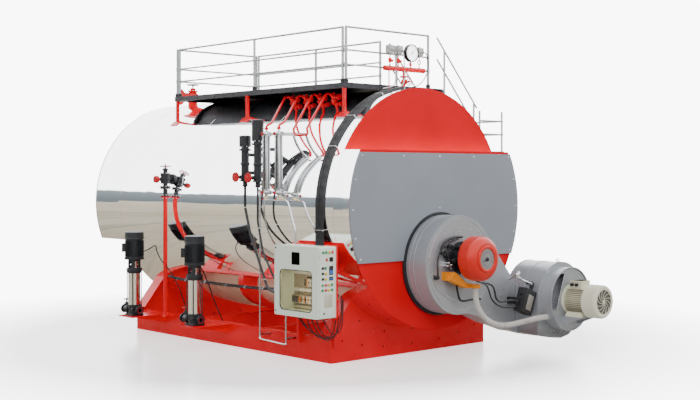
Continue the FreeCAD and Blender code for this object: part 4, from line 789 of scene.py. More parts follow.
deck_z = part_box("platform_deck")[1].z
rail_zinc = zinc("galvanised_rail", deck_z + 0.0456)
posts = []
for node, ends in (("railing_left", 3), ("railing_right", 3), ("railing_front", 2),
                   ("railing_rear", 2)):
    dress(node, rail_zinc)
    low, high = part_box(node)
    reach = 0.034
    start = Vector((low.x + reach, low.y + reach, 0))
    far = Vector((high.x - reach, high.y - reach, 0))
    posts += [start.lerp(far, i / (ends - 1)) for i in range(ends)]
bm = bmesh.new()
for place in posts:
    for height in (0.265, 0.48):
        for half, radius in ((0.03, 0.0245), (0.006, 0.0275)):
            peg(bm, place + up * (deck_z + height - half), up * 2 * half, radius)
made("rail_tees", bm, rail_zinc)
bm = bmesh.new()
for place in posts:
    foot = place + up * deck_z
    turned(bm, [(0.0345, 0.0455), (0.0345, 0.05), (0.026, 0.056), (0.02, 0.056)], foot, up, 24)
    for angle in (0.8, 2.4, 3.9, 5.5):
        way = Vector((math.cos(angle), math.sin(angle), 0))
        peg(bm, foot + way * 0.03 + up * 0.024, way * 0.009, 0.006, 8)
made("rail_foot_screws", bm, dark)
bm = bmesh.new()
post_low, post_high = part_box("platform_posts")
for x in (post_low.x + 0.09, post_high.x - 0.09):
    for y in (-2.26, 0.085, 2.09):
        for side in (-1, 1):
            peg(bm, (x - 0.023, y + side * 0.024, post_high.z - 0.006), (0.046, 0, 0), 0.006, 8)
made("post_welds", bm, weld)
bm = bmesh.new()
for i in range(9):
    for x in (-1.13, 0.68):
        way = Vector((math.copysign(1, x), 0, 0))
        hex_head(bm, (x, -2.1 + 0.51 * i, deck_z - 0.046), way, 0.01, 0.009)
for i in range(5):
    hex_head(bm, (-1.0 + 0.38 * i, -2.32, deck_z - 0.046), front, 0.01, 0.009)
made("deck_bolts", bm, dark)

# ---------------------------------------------------------------- Stairs
# Two flights of galvanised steel with grating treads bolted between plate strings, and
# a landing on legs half way. Their twin hand rails are tube on bolted posts.


def grating(name, node, axis, low, high):
    """Zinc with bearing bars and dark gaps between two places along an axis."""
    finish = zinc(name)
    span = finish.along(axis)
    held = (span > low) * (span < high)
    bars = finish.ramp(finish.waves("X", 10.0) + finish.waves("Y", 3.2) * 0.4, 0.35, 0.75)
    finish.lay("Base Color", finish.mixed((1.0 - bars) * held * 0.75, finish.base, (0.06, 0.06, 0.065)))
    finish.relief(bars * held, 0.6, 0.004, 0.001)
    dress(node, finish)


plate_in = 0.0125
low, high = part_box("stair_upper")
grating("grating_upper", "stair_upper", "Y", low.y + plate_in, high.y - plate_in)
low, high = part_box("stair_lower")
grating("grating_lower", "stair_lower", "X", low.x + plate_in, high.x - plate_in)
grating("grating_landing", "stair_landing", "Z", 3.0785, 3.2)
dress("stair_handrails", zinc("galvanised_handrail"))
bm = bmesh.new()
nosings = bmesh.new()
for i in range(1, 14):
    y = low.y + (i - 1) * 0.2
    z = 3.08 - i * 0.22
    for shift in (0.06, 0.16):
        hex_head(bm, (high.x, y + shift, z - 0.015), (1, 0, 0), 0.01, 0.009)
    slab(nosings, (low.x + 0.02, y + 0.196, z - 0.022), (high.x - 0.02, y + 0.221, z + 0.003), 0.002)
low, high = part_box("stair_upper")
for i in range(1, 5):
    x = 0.95 + i * 0.1702
    z = 4.05 - i * 0.194
    for shift in (-0.02, 0.09):
        hex_head(bm, (x + shift, low.y, z - 0.015), front, 0.01, 0.009)
    slab(nosings, (x + 0.11, low.y + 0.02, z - 0.022), (x + 0.134, high.y - 0.02, z + 0.003), 0.002)
for x in (1.841, 2.41):
    for y in (-1.33, -1.69):
        slab(bm, (x - 0.073, y - 0.075, 0), (x + 0.073, y + 0.075, 0.01), 0.002)
        for dx, dy in circle(4, 0.078, 0.5):
            hex_head(bm, (x + dx, y + dy, 0.01), up, 0.01, 0.01)
made("stair_bolts", bm, screw)
made("stair_nosings", nosings, zinc("nosing_zinc"))

# ---------------------------------------------------------------- Steam outlet
# A cast globe valve in red on the steam nozzle, its bonnet bolted down and its
# handwheel painted dark. The flange stays open for the steam main.
outlet_x, outlet_y = -0.52, 2.48
outlet_red = painted("outlet_red", red_colour, 0.35, wear=0.12, grain=0.001)
high_up = outlet_red.along("Z") > 4.285
outlet_red.lay("Base Color", outlet_red.mixed(high_up, outlet_red.base, (0.05, 0.01, 0.01)))
dress("steam_outlet_valve", outlet_red)
bm = bmesh.new()
turned(bm, [(0.044, 0.0), (0.092, 0.0), (0.092, 0.018), (0.044, 0.022)],
       (outlet_x, outlet_y, 4.18), up, 32)
made("outlet_bonnet", bm, outlet_red)
bm = bmesh.new()
for x, y in circle(6, 0.072):
    hex_head(bm, (outlet_x + x, outlet_y + y, 4.2), up, 0.011, 0.012)
made("outlet_bolts", bm, screw)

# ---------------------------------------------------------------- Steam header
# A short red pipe across the front, on a flanged riser with a small stop valve. It
# carries a dial gauge and three boxed pressure switches, each on a curled siphon.
dress("steam_header", red)
wheel_red = painted("wheel_red", (0.4, 0.012, 0.016), 0.4, wear=0.2)
for node in ("feed_valve_wheel", "header_valve_wheel", "pump_front_wheel", "pump_rear_wheel"):
    dress(node, wheel_red)
header_y, header_z = -2.395, 4.3
bm = bmesh.new()
for x, way in ((-0.42, -1), (0.44, 1)):
    turned(bm, [(0.0, 0.018), (0.018, 0.015), (0.032, 0.007), (0.0375, -0.002)],
           (x, header_y, header_z), (way, 0, 0), 24)
for x in (-0.3, -0.12):
    peg(bm, (x, header_y, 4.385), up * 0.07, 0.021)
    peg(bm, (x, header_y, 4.41), front * 0.05, 0.01, 10)
    peg(bm, (x, header_y - 0.046, 4.41), front * 0.01, 0.022, 12)
for x, side, radius in ((-0.3, 1, 0.014), (-0.12, 1, 0.014), (0.14, 1, 0.014), (0.33, 1, 0.014),
                        (-0.32, -1, 0.014), (0.0, -1, 0.03)):
    peg(bm, (x, header_y, header_z + side * 0.03), up * side * 0.016, radius)
made("header_ends", bm, red)
bm = bmesh.new()
for z in (4.037, 4.195):
    for x, y in circle(4, 0.049, 0.5):
        hex_head(bm, (x, header_y + y, z), up, 0.008, 0.01)
peg(bm, (0, header_y - 0.128, 4.105), front * 0.004, 0.006, 6)
made("header_bolts", bm, screw)


def siphons_below(name, colour, height, **plain):
    """A finish for an instrument, red on the siphon under it."""
    finish = painted(name, colour, **plain)
    under = finish.along("Z") < height
    finish.lay("Base Color", finish.mixed(under, finish.base, red_colour))
    return finish


gauge_low, gauge_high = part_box("pressure_gauge")
dial_at = Vector(((gauge_low.x + gauge_high.x) / 2, gauge_low.y, gauge_high.z - 0.135))
dress("pressure_gauge", siphons_below("gauge_case", (0.012, 0.012, 0.013), gauge_high.z - 0.272,
                                     roughness=0.3))
dial = smooth("gauge_dial", (0.95, 0.95, 0.93), 0.35, 0.45, scale=20.0)
bm = bmesh.new()
turned(bm, [(0.0, 0.0), (0.1205, 0.0)], dial_at + back * 0.0095, front, 64)
made("gauge_dial", bm, dial)
bm = bmesh.new()
for i in range(41):
    turn = Matrix.Rotation(math.radians(-135 + 6.75 * i), 4, "Y")
    length, width = (0.02, 0.0022) if i % 5 == 0 else (0.01, 0.0011)
    middle = dial_at + back * 0.0085 + turn @ up * (0.106 - length / 2)
    block(bm, middle, (width, 0.0004, length / 2), turn=turn)
turn = Matrix.Rotation(math.radians(48), 4, "Y")
hub = dial_at + back * 0.006
peg(bm, hub - turn @ up * 0.03, turn @ up * 0.118, 0.006, 6, 0.002)
peg(bm, hub + back * 0.003, front * 0.006, 0.01, 20)
made("gauge_needle", bm, dark)
bm = bmesh.new()
turned(bm, [(0.0, 0.0), (0.1205, 0.0)], dial_at + back * 0.0015, front)
clear = smooth("clear_cover", (0.99, 1.0, 1.0), 0.02, 0.04, Transmission_Weight=1.0, IOR=1.05)
made("gauge_cover", bm, clear)
bm = bmesh.new()
turned(bm, [(0.1205, -0.002), (0.1225, 0.002), (0.128, 0.0045), (0.134, 0.003), (0.136, -0.002),
            (0.136, -0.02)], dial_at, front, 64)
made("gauge_rim", bm, painted("gauge_rim", (0.02, 0.02, 0.02), 0.25, 0.5))

switch_grey = siphons_below("switch_grey", (0.4, 0.4, 0.385), 4.4965, roughness=0.38, metallic=0.3)
dress("header_instruments", switch_grey)
bm = bmesh.new()
glands = bmesh.new()
for x in (-0.3, -0.12, 0.33):
    slab(bm, (x - 0.056, header_y - 0.05, 4.555), (x + 0.056, header_y - 0.04, 4.64), 0.003)
    slab(bm, (x - 0.034, header_y - 0.053, 4.575), (x + 0.034, header_y - 0.049, 4.6), 0.001)
    peg(bm, (x, header_y, 4.64), up * 0.022, 0.02, 12)
    peg(bm, (x, header_y, 4.497), up * 0.017, 0.027, 6)
    peg(glands, (x + 0.05, header_y, 4.59), (0.028, 0, 0), 0.015, 12)
    for dx in (-0.048, 0.048):
        for z in (4.563, 4.632):
            peg(glands, (x + dx, header_y - 0.049, z), front * 0.005, 0.004, 8)
made("switch_covers", bm, switch_grey)
made("switch_glands", glands, dark)
round_pipe("switch_cable", (
    (0.4, header_y, 4.59), (0.475, header_y, 4.595), (0.525, -2.4, 4.5), (0.505, -2.42, 4.29),
    (0.36, -2.44, 4.12), (0.18, -2.465, 4.035), (-0.02, -2.476, 4.012), (-0.1, -2.476, 4.01)),
    0.0085, cable)
lead = smooth("grey_conduit", (0.44, 0.45, 0.46), 0.3, 0.5, 0.5, 8.0)
for i, (x, shift) in enumerate(((-0.225, 0.0), (-0.035, 0.03))):
    round_pipe(f"switch_conduit_{i}", (
        (x, header_y, 4.59), (x + 0.02, header_y, 4.59), (x + 0.03, -2.4, 4.5),
        (x + 0.02, -2.425, 4.22), (x - 0.01, -2.44, 4.04 + shift), (x - 0.13, -2.45, 4.005),
        (x - 0.3, -2.476, 3.975)), 0.01, lead)

# ---------------------------------------------------------------- Level gear
# Two black level controller chambers and two reflex gauge glasses stand off the body on
# short pipes. Red sensing pipes hoop over to them from valves under the platform.
cast_black = painted("black_cast", (0.018, 0.019, 0.022), 0.38, wear=0.3, grain=0.001)
level_black = painted("level_black", (0.018, 0.019, 0.022), 0.34, wear=0.25, grain=0.0008)
wheels = level_black.along("X") < -2.105
level_black.lay("Base Color", level_black.mixed(wheels, level_black.base, (0.62, 0.012, 0.02)))
dress("level_chambers", level_black)
level_x = -1.944
bm = bmesh.new()
for y, cap_z in ((-0.96, 3.12), (-1.27, 3.2)):
    for dx, dy in circle(8, 0.077, 0.5):
        for z in (cap_z - 0.04, cap_z):
            hex_head(bm, (level_x + dx, y + dy, z), -up, 0.01, 0.012)
made("chamber_bolts", bm, screw)
bm = bmesh.new()
grips = bmesh.new()
for y, low_z, top_z in ((-0.96, 2.53, 3.27), (-1.27, 2.52, 3.5)):
    turned(bm, [(0.0, 0.014), (0.06, 0.012), (0.082, 0.004), (0.089, -0.004)],
           (level_x, y, top_z), up, 32)
    turned(bm, [(0.058, 0.0), (0.07, 0.01), (0.07, 0.04), (0.058, 0.05)],
           (level_x, y, low_z + 0.3), up, 32)
    turned(bm, [(0.024, 0.0), (0.04, 0.006), (0.04, 0.03), (0.024, 0.036)],
           (level_x, y, low_z - 0.02), up, 24)
    wheel_z = low_z + 0.125
    peg(bm, (level_x - 0.055, y, wheel_z), left * 0.05, 0.03, 6)
    for dy, dz in circle(10, 0.066):
        peg(grips, (-2.1105, y + dy, wheel_z + dz), left * 0.026, 0.01, 8)
    turned(grips, [(0.0, 0.006), (0.018, 0.005), (0.024, 0.0)], (-2.139, y, wheel_z), left, 16)
made("chamber_collars", bm, cast_black)
made("chamber_wheel_grips", grips, painted("grip_red", (0.62, 0.012, 0.02), 0.35))

silver = smooth("gauge_silver", (0.37, 0.38, 0.39), 0.2, 0.4, 0.85, 14.0)
dress("level_gauge_glasses", silver)
strip = smooth("gauge_strip", (0.1, 0.105, 0.11), 0.08, 0.18, scale=30.0)
bm = bmesh.new()
strips = bmesh.new()
cocks = bmesh.new()
handles = bmesh.new()
brass = smooth("brass", (0.68, 0.48, 0.21), 0.2, 0.4, 1.0, 20.0)
gauge_at = (-1.48, -1.77)
for y in gauge_at:
    for side in (-1, 1):
        block(bm, (level_x - 0.0365, y + side * 0.036, 2.875), (0.0055, 0.012, 0.4), 0.003)
        block(bm, (level_x - side * 0.022, y - 0.042, 2.875), (0.01, 0.005, 0.4), 0.003)
        for i in range(11):
            hex_head(bm, (level_x - 0.042, y + side * 0.036, 2.51 + 0.073 * i), left, 0.008, 0.008)
    slab(strips, (level_x - 0.034, y - 0.022, 2.49), (level_x - 0.0315, y + 0.022, 3.26))
    slab(strips, (level_x - 0.012, y - 0.0405, 2.49), (level_x + 0.012, y - 0.0375, 3.26))
    for z in (2.43, 3.29):
        bmesh.ops.create_uvsphere(bm, u_segments=20, v_segments=12, radius=0.043,
                                  matrix=Matrix.Translation((level_x, y, z)))
        peg(bm, (level_x + 0.055, y, z), (0.025, 0, 0), 0.034, 6)
        peg(bm, (level_x - 0.03, y, z), left * 0.048, 0.014, 12)
        peg(handles, (level_x - 0.076, y, z), left * 0.016, 0.026, 12)
    peg(handles, (level_x - 0.06, y - 0.02, 2.34), (-0.035, -0.01, -0.006), 0.011, 10)
    peg(cocks, (level_x, y, 2.345), up * 0.03, 0.022, 6)
    peg(cocks, (level_x, y, 2.352), (-0.06, -0.02, -0.012), 0.007, 8)
    peg(cocks, (level_x, y, 2.352), (0.035, 0.03, 0), 0.01, 8)
made("gauge_rails", bm, silver)
made("gauge_strips", strips, strip)
made("gauge_cocks", cocks, brass)
made("cock_handles", handles, wheel_red)

dress("sensing_lines", red)
bm = bmesh.new()
valve_x, valve_z = -0.81, 3.872
for y in (-0.72, -1.05, -1.38, -1.7):
    way = Vector((-0.1, -0.008, 0.052)).normalized()
    peg(bm, Vector((valve_x, y, valve_z)) + way * 0.05, way * 0.026, 0.03, 6)
    peg(bm, (valve_x, y, valve_z + 0.04), up * 0.035, 0.024, 6)
    peg(bm, (valve_x, y, valve_z - 0.065), up * 0.017, 0.055, 20)
    for x, z in circle(6, 0.042):
        peg(bm, (valve_x + x, y - 0.094, valve_z + z), front * 0.027, 0.009, 8)
for y in gauge_at:
    peg(bm, (level_x, y, 3.352), up * 0.032, 0.03, 6)
made("sensing_unions", bm, red)

pipe_steel = smooth("pipe_steel", (0.39, 0.4, 0.42), 0.15, 0.4, 1.0, 6.0)
dress("drain_pipes", pipe_steel)
drain_x = -1.835
bm = bmesh.new()
for y, foot_z in ((-1.183, 0.235), (-1.798, 0.21)):
    for z in (0.3, 0.56):
        peg(bm, (drain_x, y, z - 0.012), up * 0.024, 0.0155, 12)
    bmesh.ops.create_uvsphere(bm, u_segments=14, v_segments=10, radius=0.017,
                              matrix=Matrix.Translation((drain_x, y, foot_z + 0.012)))
peg(bm, (drain_x, -1.183, 2.44), up * 0.03, 0.017, 6)
made("drain_joints", bm, pipe_steel)

# ---------------------------------------------------------------- Feed water
# A red riser carries the feed water up from the skid to a black cast globe valve, which
# is bolted to a flange on the body and opened by the thin red handwheel on top.
feed_black = painted("feed_black", (0.018, 0.019, 0.022), 0.36, wear=0.3, grain=0.0012)
knob = feed_black.along("X") < -2.029
feed_black.lay("Base Color", feed_black.mixed(knob, feed_black.base, (0.62, 0.012, 0.02)))
dress("feed_valve", feed_black)
feed_x, feed_y = -1.89, 1.285
bm = bmesh.new()
for z, way, reach in ((2.35, up, 0.062), (2.31, -up, 0.062), (2.465, -up, 0.072),
                      (2.495, up, 0.072), (2.71, up, 0.07)):
    for x, y in circle(8, reach, 0.5):
        hex_head(bm, (feed_x + x, feed_y + y, z), way, 0.0095, 0.012)
made("feed_bolts", bm, screw)
bm = bmesh.new()
turned(bm, [(0.076, 0.0), (0.086, 0.006), (0.086, 0.02), (0.076, 0.026)],
       (feed_x, feed_y, 2.602), up, 40)
turned(bm, [(0.036, 0.0), (0.052, 0.004), (0.052, 0.02), (0.036, 0.026)],
       (feed_x, feed_y, 2.76), up, 32)
for angle in (0.6, 2.2, 3.74, 5.34):
    peg(bm, (feed_x + 0.03 * math.cos(angle), feed_y + 0.03 * math.sin(angle), 2.78), up * 0.032,
        0.006, 8)
peg(bm, (feed_x - 0.07, feed_y, 2.615), left * 0.028, 0.034, 6)
peg(bm, (feed_x, feed_y, 2.853), up * 0.011, 0.014, 6)
made("feed_collars", bm, cast_black)
bm = bmesh.new()
for y, z in circle(8, 0.05):
    peg(bm, (-2.034, feed_y + y, 2.615 + z), left * 0.056, 0.0085, 8)
made("feed_knob_grips", bm, painted("knob_red", (0.62, 0.012, 0.02), 0.35))

# ---------------------------------------------------------------- Feed pumps
# Two upright multistage pumps: a cast foot, a bright stainless sleeve held by four tie
# rods, an open lantern over the coupling, and a ribbed black motor with a fan cover.
pump_black = painted("pump_black", (0.02, 0.022, 0.026), 0.38, wear=0.25, grain=0.001)
dress("pump_castings", pump_black)
dress("pump_motors", pump_black)
sleeve = smooth("sleeve_steel", (0.82, 0.82, 0.82), 0.06, 0.18, 1.0, 5.0, (1, 1, 0.1))
dress("pump_sleeves", sleeve)
coupling_steel = smooth("coupling_steel", (0.8, 0.8, 0.79), 0.1, 0.3, 1.0)
for name, pump_y in (("front", 0.04), ("rear", 1.79)):
    at = Vector((-2.17, pump_y, 0))
    bm = bmesh.new()
    turned(bm, [(0.099, 0.5), (0.109, 0.503), (0.109, 0.528), (0.099, 0.534)], at, up)
    turned(bm, [(0.099, 1.05), (0.109, 1.054), (0.109, 1.0805), (0.099, 1.0805)], at, up)
    for angle in (0.785, 2.356, 3.927, 5.498):
        spot = at + Vector((math.cos(angle), math.sin(angle), 0)) * 0.119
        peg(bm, spot + up * 0.44, up * 0.66, 0.0085, 10)
        for z, way in ((1.12, up), (0.44, -up)):
            hex_head(bm, spot + up * z, way, 0.015, 0.018)
        block(bm, spot + up * 0.4625, (0.022, 0.022, 0.0175), 0.004)
    for x, y in circle(8, 0.15, 0.5):
        hex_head(bm, at + Vector((x, y, 1.311)), up, 0.01, 0.01)
    made(f"pump_{name}_rods", bm, dark)
    bm = bmesh.new()
    for i in range(40):
        turn = Matrix.Rotation(2 * math.pi * i / 40, 4, "Z")
        block(bm, at + turn @ Vector((0.147, 0, 1.465)), (0.01, 0.0022, 0.132), turn=turn)
    turned(bm, [(0.14, 1.33), (0.158, 1.326), (0.158, 1.312), (0.14, 1.311)], at, up)
    turned(bm, [(0.155, 1.612), (0.1575, 1.618), (0.1575, 1.636), (0.155, 1.642)], at, up)
    turned(bm, [(0.154, 1.726), (0.149, 1.736), (0.12, 1.744), (0.0, 1.747)], at, up)
    slab(bm, at + Vector((-0.006, -0.15, 1.7)), at + Vector((0.006, -0.158, 1.735)), 0.002)
    made(f"pump_{name}_fins", bm, pump_black)
    bm = bmesh.new()
    turned(bm, [(0.034, 1.135), (0.062, 1.14), (0.062, 1.185), (0.05, 1.19), (0.05, 1.2),
                (0.062, 1.205), (0.062, 1.245), (0.034, 1.25)], at, up, 32)
    for side in (-1, 1):
        turned(bm, [(0.0385, 0.0), (0.0385, 0.0025), (0.047, 0.0025), (0.047, 0.0)],
               at + Vector((0, side * 0.178, 0.4403)), (0, side, 0), 32)
    made(f"pump_{name}_coupling", bm, coupling_steel)
    bm = bmesh.new()
    turn = Matrix.Rotation(math.radians(200), 4, "Z")
    block(bm, at + turn @ Vector((0, -0.213, 1.47)), (0.064, 0.004, 0.074), 0.004, turn)
    for x in (-0.052, 0.052):
        for z in (1.408, 1.532):
            peg(bm, at + turn @ Vector((x, -0.216, z)), turn @ front * 0.005, 0.006, 8)
    peg(bm, at + turn @ Vector((0, -0.15, 1.398)), -up * 0.036, 0.017, 12)
    for x, z in circle(4, 0.055, 0.5):
        for y, way in ((0.1963, back), (0.16, front), (0.3103, back), (0.2923, front)):
            hex_head(bm, at + Vector((x, y, 0.4403 + z)), way, 0.01, 0.01)
    for x, y in circle(4, 0.088 * math.sqrt(2), 0.5):
        hex_head(bm, at + Vector((x, y, 0.378)), up, 0.013, 0.013)
    turned(bm, [(0.026, 0.0), (0.04, 0.003), (0.04, 0.014), (0.026, 0.018)],
           at + Vector((0, 0.2443, 0.515)), up, 24)
    made(f"pump_{name}_fittings", bm, dark)
for name, line in (
        ("motor", ((-2.085, 1.905, 1.37), (-2.08, 1.87, 1.345), (-2.05, 1.74, 1.4),
                   (-2.02, 1.56, 1.455), (-2.0, 1.4, 1.54), (-1.97, 1.43, 1.43), (-1.93, 1.34, 1.26),
                   (-1.87, 1.2, 1.14), (-1.72, 1.06, 0.76), (-1.62, 1.02, 0.365))),
        ("front", ((-2.085, 0.155, 1.37), (-2.04, 0.17, 1.3), (-1.93, 0.2, 1.24), (-1.8, 0.19, 0.96),
                   (-1.7, 0.12, 0.6), (-1.6, 0.08, 0.365)))):
    round_pipe(f"pump_{name}_cable", line, 0.009, cable)

# ---------------------------------------------------------------- Control cabinet
# A folded sheet steel cabinet in pale cream, on a red backing frame. Its door has a
# gasketed window and a display; lamps and buttons sit in its side. Wires drop below it.
mint = painted("cabinet_cream", (0.86, 0.93, 0.8), 0.36, wear=0.03, grain=0.0003, edge=0.004)
dress("cabinet_body", mint)
dress("cabinet_door", mint)
glass = Finish("window_clear", (0.9, 0.91, 0.9), 0.04, Transmission_Weight=1.0, IOR=1.08)
# Below the display the glass is tinted brown: painted shade for the dim inside of the cabinet seen
# through it. Above 1.4 m it is the dark display.
screen = glass.along("Z") > 1.4
glass.lay("Base Color", glass.mixed(screen, (0.62, 0.58, 0.47, 1), (0.008, 0.012, 0.01, 1)))
glass.lay("Roughness", glass.cloud(6.0) * 0.03 + 0.03)
dress("cabinet_window", glass)
back_plate = painted("gear_plate", (0.3, 0.27, 0.21), 0.5, wear=0.2)
dress("cabinet_gear", back_plate)
door_x = -2.13


def frame_ring(bm, x0, x1, y0, y1, z0, z1, width, corner):
    """A rounded frame round an opening in a face that looks along X."""
    ends = []
    for grow in (0.0, width):
        line = []
        for cy, cz, start in ((y1, z1, 0), (y0, z1, 90), (y0, z0, 180), (y1, z0, 270)):
            side_y = -1 if cy == y1 else 1
            side_z = -1 if cz == z1 else 1
            for k in range(7):
                angle = math.radians(start + 15 * k)
                line.append((cy + side_y * corner + (corner + grow) * math.cos(angle),
                             cz + side_z * corner + (corner + grow) * math.sin(angle)))
        ends.append(line)
    loops = [[bm.verts.new((x, y, z)) for y, z in line]
             for x, line in ((x1, ends[0]), (x0, ends[0]), (x0, ends[1]), (x1, ends[1]))]
    count = len(loops[0])
    for first, second in zip(loops, loops[1:] + loops[:1]):
        for i in range(count):
            k = (i + 1) % count
            bm.faces.new((first[i], first[k], second[k], second[i]))


bm = bmesh.new()
frame_ring(bm, -2.1335, -2.1195, -2.72, -2.03, 0.785, 1.345, 0.01, 0.06)
frame_ring(bm, -2.1325, -2.1255, -2.458, -2.292, 1.432, 1.598, 0.006, 0.006)
made("window_gasket", bm, painted("gasket", (0.03, 0.032, 0.03), 0.6), "cabinet_door")
bm = bmesh.new()
for z in (1.65, 0.75):
    peg(bm, (door_x, -1.93, z), left * 0.004, 0.013)
    slab(bm, (door_x - 0.006, -1.933, z - 0.009), (door_x - 0.003, -1.927, z + 0.009), 0.001)
made("door_locks", bm, dark, "cabinet_door")
bm = bmesh.new()
frame_ring(bm, -2.0945, -2.0885, -2.842, -1.908, 0.703, 1.682, 0.006, 0.014)
made("door_seal", bm, painted("seal", (0.03, 0.03, 0.03), 0.7))

tones = {"beige": (0.55, 0.5, 0.4), "brown": (0.16, 0.1, 0.06), "orange": (0.75, 0.22, 0.03),
         "charcoal": (0.04, 0.04, 0.045), "white": (0.7, 0.7, 0.66)}
random.seed(7)
rows = ((0.855, -2.7, -2.05), (1.105, -2.7, -2.3), (1.355, -2.575, -2.05))
devices = {tone: bmesh.new() for tone in tones}
for z, y0, y1 in rows:
    y = y0
    while y < y1 - 0.05:
        wide = random.choice((0.022, 0.03, 0.045, 0.06))
        tone = random.choice(("beige", "white", "charcoal", "brown", "orange", "beige"))
        tall = random.uniform(0.075, 0.11)
        slab(devices[tone], (-1.924, y, z + 0.06 - tall / 2),
             (-1.913, y + wide, z + 0.06 + tall / 2), 0.002)
        slab(devices["charcoal"], (-1.9265, y + wide * 0.3, z + 0.05),
             (-1.922, y + wide * 0.7, z + 0.075))
        y += wide + 0.004
for z in (1.02, 1.27):
    slab(devices["white"], (-1.85, -2.76, z), (-1.8115, -1.99, z + 0.045), 0.002)
for z in (0.8, 1.52):
    slab(devices["beige"], (-1.85, -2.76, z - 0.02), (-1.8115, -1.99, z + 0.02), 0.002)
for tone, colour in tones.items():
    made(f"gear_{tone}", devices[tone], painted(f"gear_{tone}", colour, 0.45))
wire_red = painted("wire_red", (0.45, 0.01, 0.012), 0.45, edge=0.0)
for i in range(10):
    y = -2.66 + 0.06 * i
    z = rows[i % 2][0] + 0.11
    bend = random.uniform(-0.03, 0.03)
    round_pipe(f"gear_wire_{i}", ((-1.905, y, z), (-1.9, y + bend, z + 0.05),
                                  (-1.88, y + bend, z + 0.09), (-1.87, y, z + 0.145)),
               0.0022, wire_red if i % 3 == 0 else cable)

side_y = -2.85
lamps = {"green": (0.02, 0.3, 0.1), "yellow": (0.85, 0.55, 0.02), "red": (0.7, 0.02, 0.02),
         "black": (0.015, 0.015, 0.017), "blue": (0.05, 0.2, 0.6)}
knobs = {name: bmesh.new() for name in lamps}
rims = bmesh.new()
rows_of_four = ((-2.045, "green"), (-1.985, "red"), (-1.93, "yellow"), (-1.872, "green"))
lamps_at = [(name, x, z) for z in (1.165, 1.095) for x, name in rows_of_four]
lamps_at += [("black", -2.04, 1.325), ("yellow", -1.985, 1.325), ("black", -2.04, 1.25),
             ("yellow", -1.985, 1.25), ("black", -2.04, 1.4), ("green", -1.99, 1.4),
             ("red", -1.968, 1.516), ("green", -2.032, 1.617), ("green", -1.977, 1.617),
             ("yellow", -1.918, 1.617), ("red", -1.862, 1.617)]
for name, x, z in lamps_at:
    turned(knobs[name], [(0.0, 0.016), (0.014, 0.015), (0.02, 0.01), (0.0205, -0.001)],
           (x, side_y, z), front, 20)
    turned(rims, [(0.02, 0.006), (0.0235, 0.005), (0.025, -0.001)], (x, side_y, z), front, 20)
slab(knobs["black"], (-1.915, side_y - 0.006, 1.485), (-1.85, side_y + 0.001, 1.548), 0.002)
for z0, z1 in ((1.3, 1.425), (1.225, 1.275)):
    slab(knobs["black"], (-1.92, side_y - 0.006, z0), (-1.85, side_y + 0.001, z1), 0.002)
    slab(knobs["blue"], (-1.912, side_y - 0.0075, z0 + 0.012),
         (-1.858, side_y - 0.0055, (z0 + z1) / 2 + 0.006))
for name, colour in lamps.items():
    lamp = painted(f"lamp_{name}", colour, 0.25, grain=0.0, edge=0.0)
    made(f"side_lamps_{name}", knobs[name], lamp)
made("side_rims", rims, screw)
bm = bmesh.new()
slab(bm, (-2.01, side_y - 0.002, 0.85), (-1.86, side_y + 0.001, 1.03), 0.001)
made("side_plate", bm, painted("plate_beige", (0.62, 0.6, 0.46), 0.4))
bm = bmesh.new()
peg(bm, (-2.015, side_y, 0.77), front * 0.005, 0.014)
slab(bm, (-2.018, side_y - 0.007, 0.761), (-2.012, side_y - 0.004, 0.779), 0.001)
for z in (0.82, 1.56):
    peg(bm, (-2.0965, -2.861, z + 0.0625), up * 0.0035, 0.007, 10)
made("cabinet_lock", bm, dark)
glands_at = [(-1.88 - 0.03 * (i % 2), y)
             for i, y in enumerate((-2.123, -2.2, -2.34, -2.44, -2.54, -2.7))]
bm = bmesh.new()
for x, y in glands_at:
    peg(bm, (x, y, 0.697), -up * 0.029, 0.016, 12)
made("cabinet_glands", bm, dark)
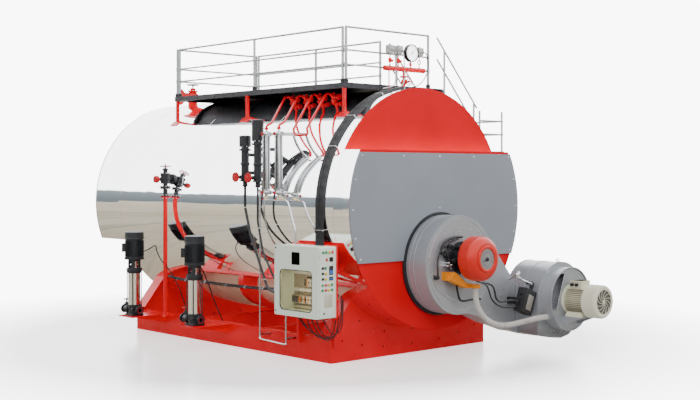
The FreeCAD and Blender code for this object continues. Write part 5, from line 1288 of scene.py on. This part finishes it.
for i, ((gland_x, gland_y), points) in enumerate(zip(glands_at, (
        ((-1.86, -2.14, 0.6), (-1.78, -2.25, 0.46), (-1.7, -2.36, 0.385), (-1.66, -2.45, 0.358)),
        ((-1.87, -2.21, 0.58), (-1.8, -2.32, 0.44), (-1.72, -2.44, 0.375), (-1.65, -2.56, 0.358)),
        ((-1.88, -2.34, 0.56), (-1.84, -2.44, 0.42), (-1.8, -2.58, 0.37), (-1.77, -2.7, 0.4),
         (-1.76, -2.78, 0.52), (-1.755, -2.8, 0.66)),
        ((-1.87, -2.45, 0.58), (-1.84, -2.52, 0.44), (-1.8, -2.62, 0.355), (-1.77, -2.76, 0.38),
         (-1.755, -2.83, 0.5), (-1.75, -2.86, 0.7)),
        ((-1.89, -2.55, 0.59), (-1.86, -2.62, 0.47), (-1.83, -2.72, 0.4), (-1.79, -2.84, 0.44),
         (-1.76, -2.9, 0.6), (-1.74, -2.905, 0.8), (-1.73, -2.89, 1.0)),
        ((-1.87, -2.71, 0.6), (-1.84, -2.76, 0.5), (-1.81, -2.84, 0.45), (-1.76, -2.925, 0.52),
         (-1.74, -2.93, 0.72), (-1.72, -2.91, 0.95))))):
    for k, (shift, skin) in enumerate(((0.0, cable), (0.014, wire_red))):
        line = [(gland_x + shift * 0.4, gland_y, 0.68)]
        line += [(x + shift, y, z + shift) for x, y, z in points]
        round_pipe(f"cabinet_wire_{i}_{k}", line, 0.0065 - 0.002 * k, skin)

# ---------------------------------------------------------------- Cables on the body
# Flat black cable bundles run over the body to the cabinet, tied with white straps. Two
# conduits come down from the level chambers, and one long cable is clipped along below.
harness = painted("harness_black", (0.016, 0.016, 0.018), 0.42, wear=0.25, grain=0.0006)
dress("cable_harness", harness)
bm = bmesh.new()
ridges = bmesh.new()
strand_r = 1.8205
white_tie = painted("white_tie", (0.75, 0.75, 0.73), 0.4, edge=0.0)
for y in (-2.56, -2.476):
    for lift in (150.3, 132.0, 111.0, 96.0):
        turn = Matrix.Rotation(math.radians(-lift), 4, "Y")
        block(bm, Vector((0, y, 2.2)) + turn @ Vector((1.809, 0, 0)), (0.0155, 0.0395, 0.006), 0.001,
              turn)
    block(bm, (-1.80875, y, 1.906), (0.01475, 0.0395, 0.006), 0.001)
    for k in range(5):
        strand = Vector((0, y - 0.03 + 0.015 * k, 2.2))
        line = [strand + Matrix.Rotation(math.radians(-93 - 87 * i / 18), 4, "Y") @
                Vector((strand_r, 0, 0)) for i in range(19)]
        for first, second in zip(line, line[1:]):
            bar(ridges, first, second, 0.0055, 6)
        peg(ridges, strand + left * strand_r, -up * 0.5, 0.0055, 6)
made("harness_ties", bm, white_tie)
made("harness_strands", ridges, harness)
bm = bmesh.new()
for y, z, radius in ((-0.96, 2.2, 0.024), (-1.3, 1.9, 0.02), (-1.44, 1.15, 0.024)):
    peg(bm, (level_x, y, z - 0.006), up * 0.012, radius)
made("conduit_ties", bm, white_tie)
under = ((-1.268, 2.148, 0.92), (-1.24, 1.9, 0.88), (-1.234, 1.655, 0.876),
         (-1.236, 1.086, 0.878), (-1.228, 0.509, 0.868), (-1.232, -0.013, 0.874),
         (-1.246, -0.5, 0.886), (-1.262, -0.823, 0.906), (-1.262, -2.28, 0.906))
round_pipe("long_cable", under, 0.013, cable)
bm = bmesh.new()
for x, y, z in under[1:]:
    peg(bm, (x, y - 0.008, z), back * 0.016, 0.017, 12)
made("cable_clips", bm, pipe_steel)
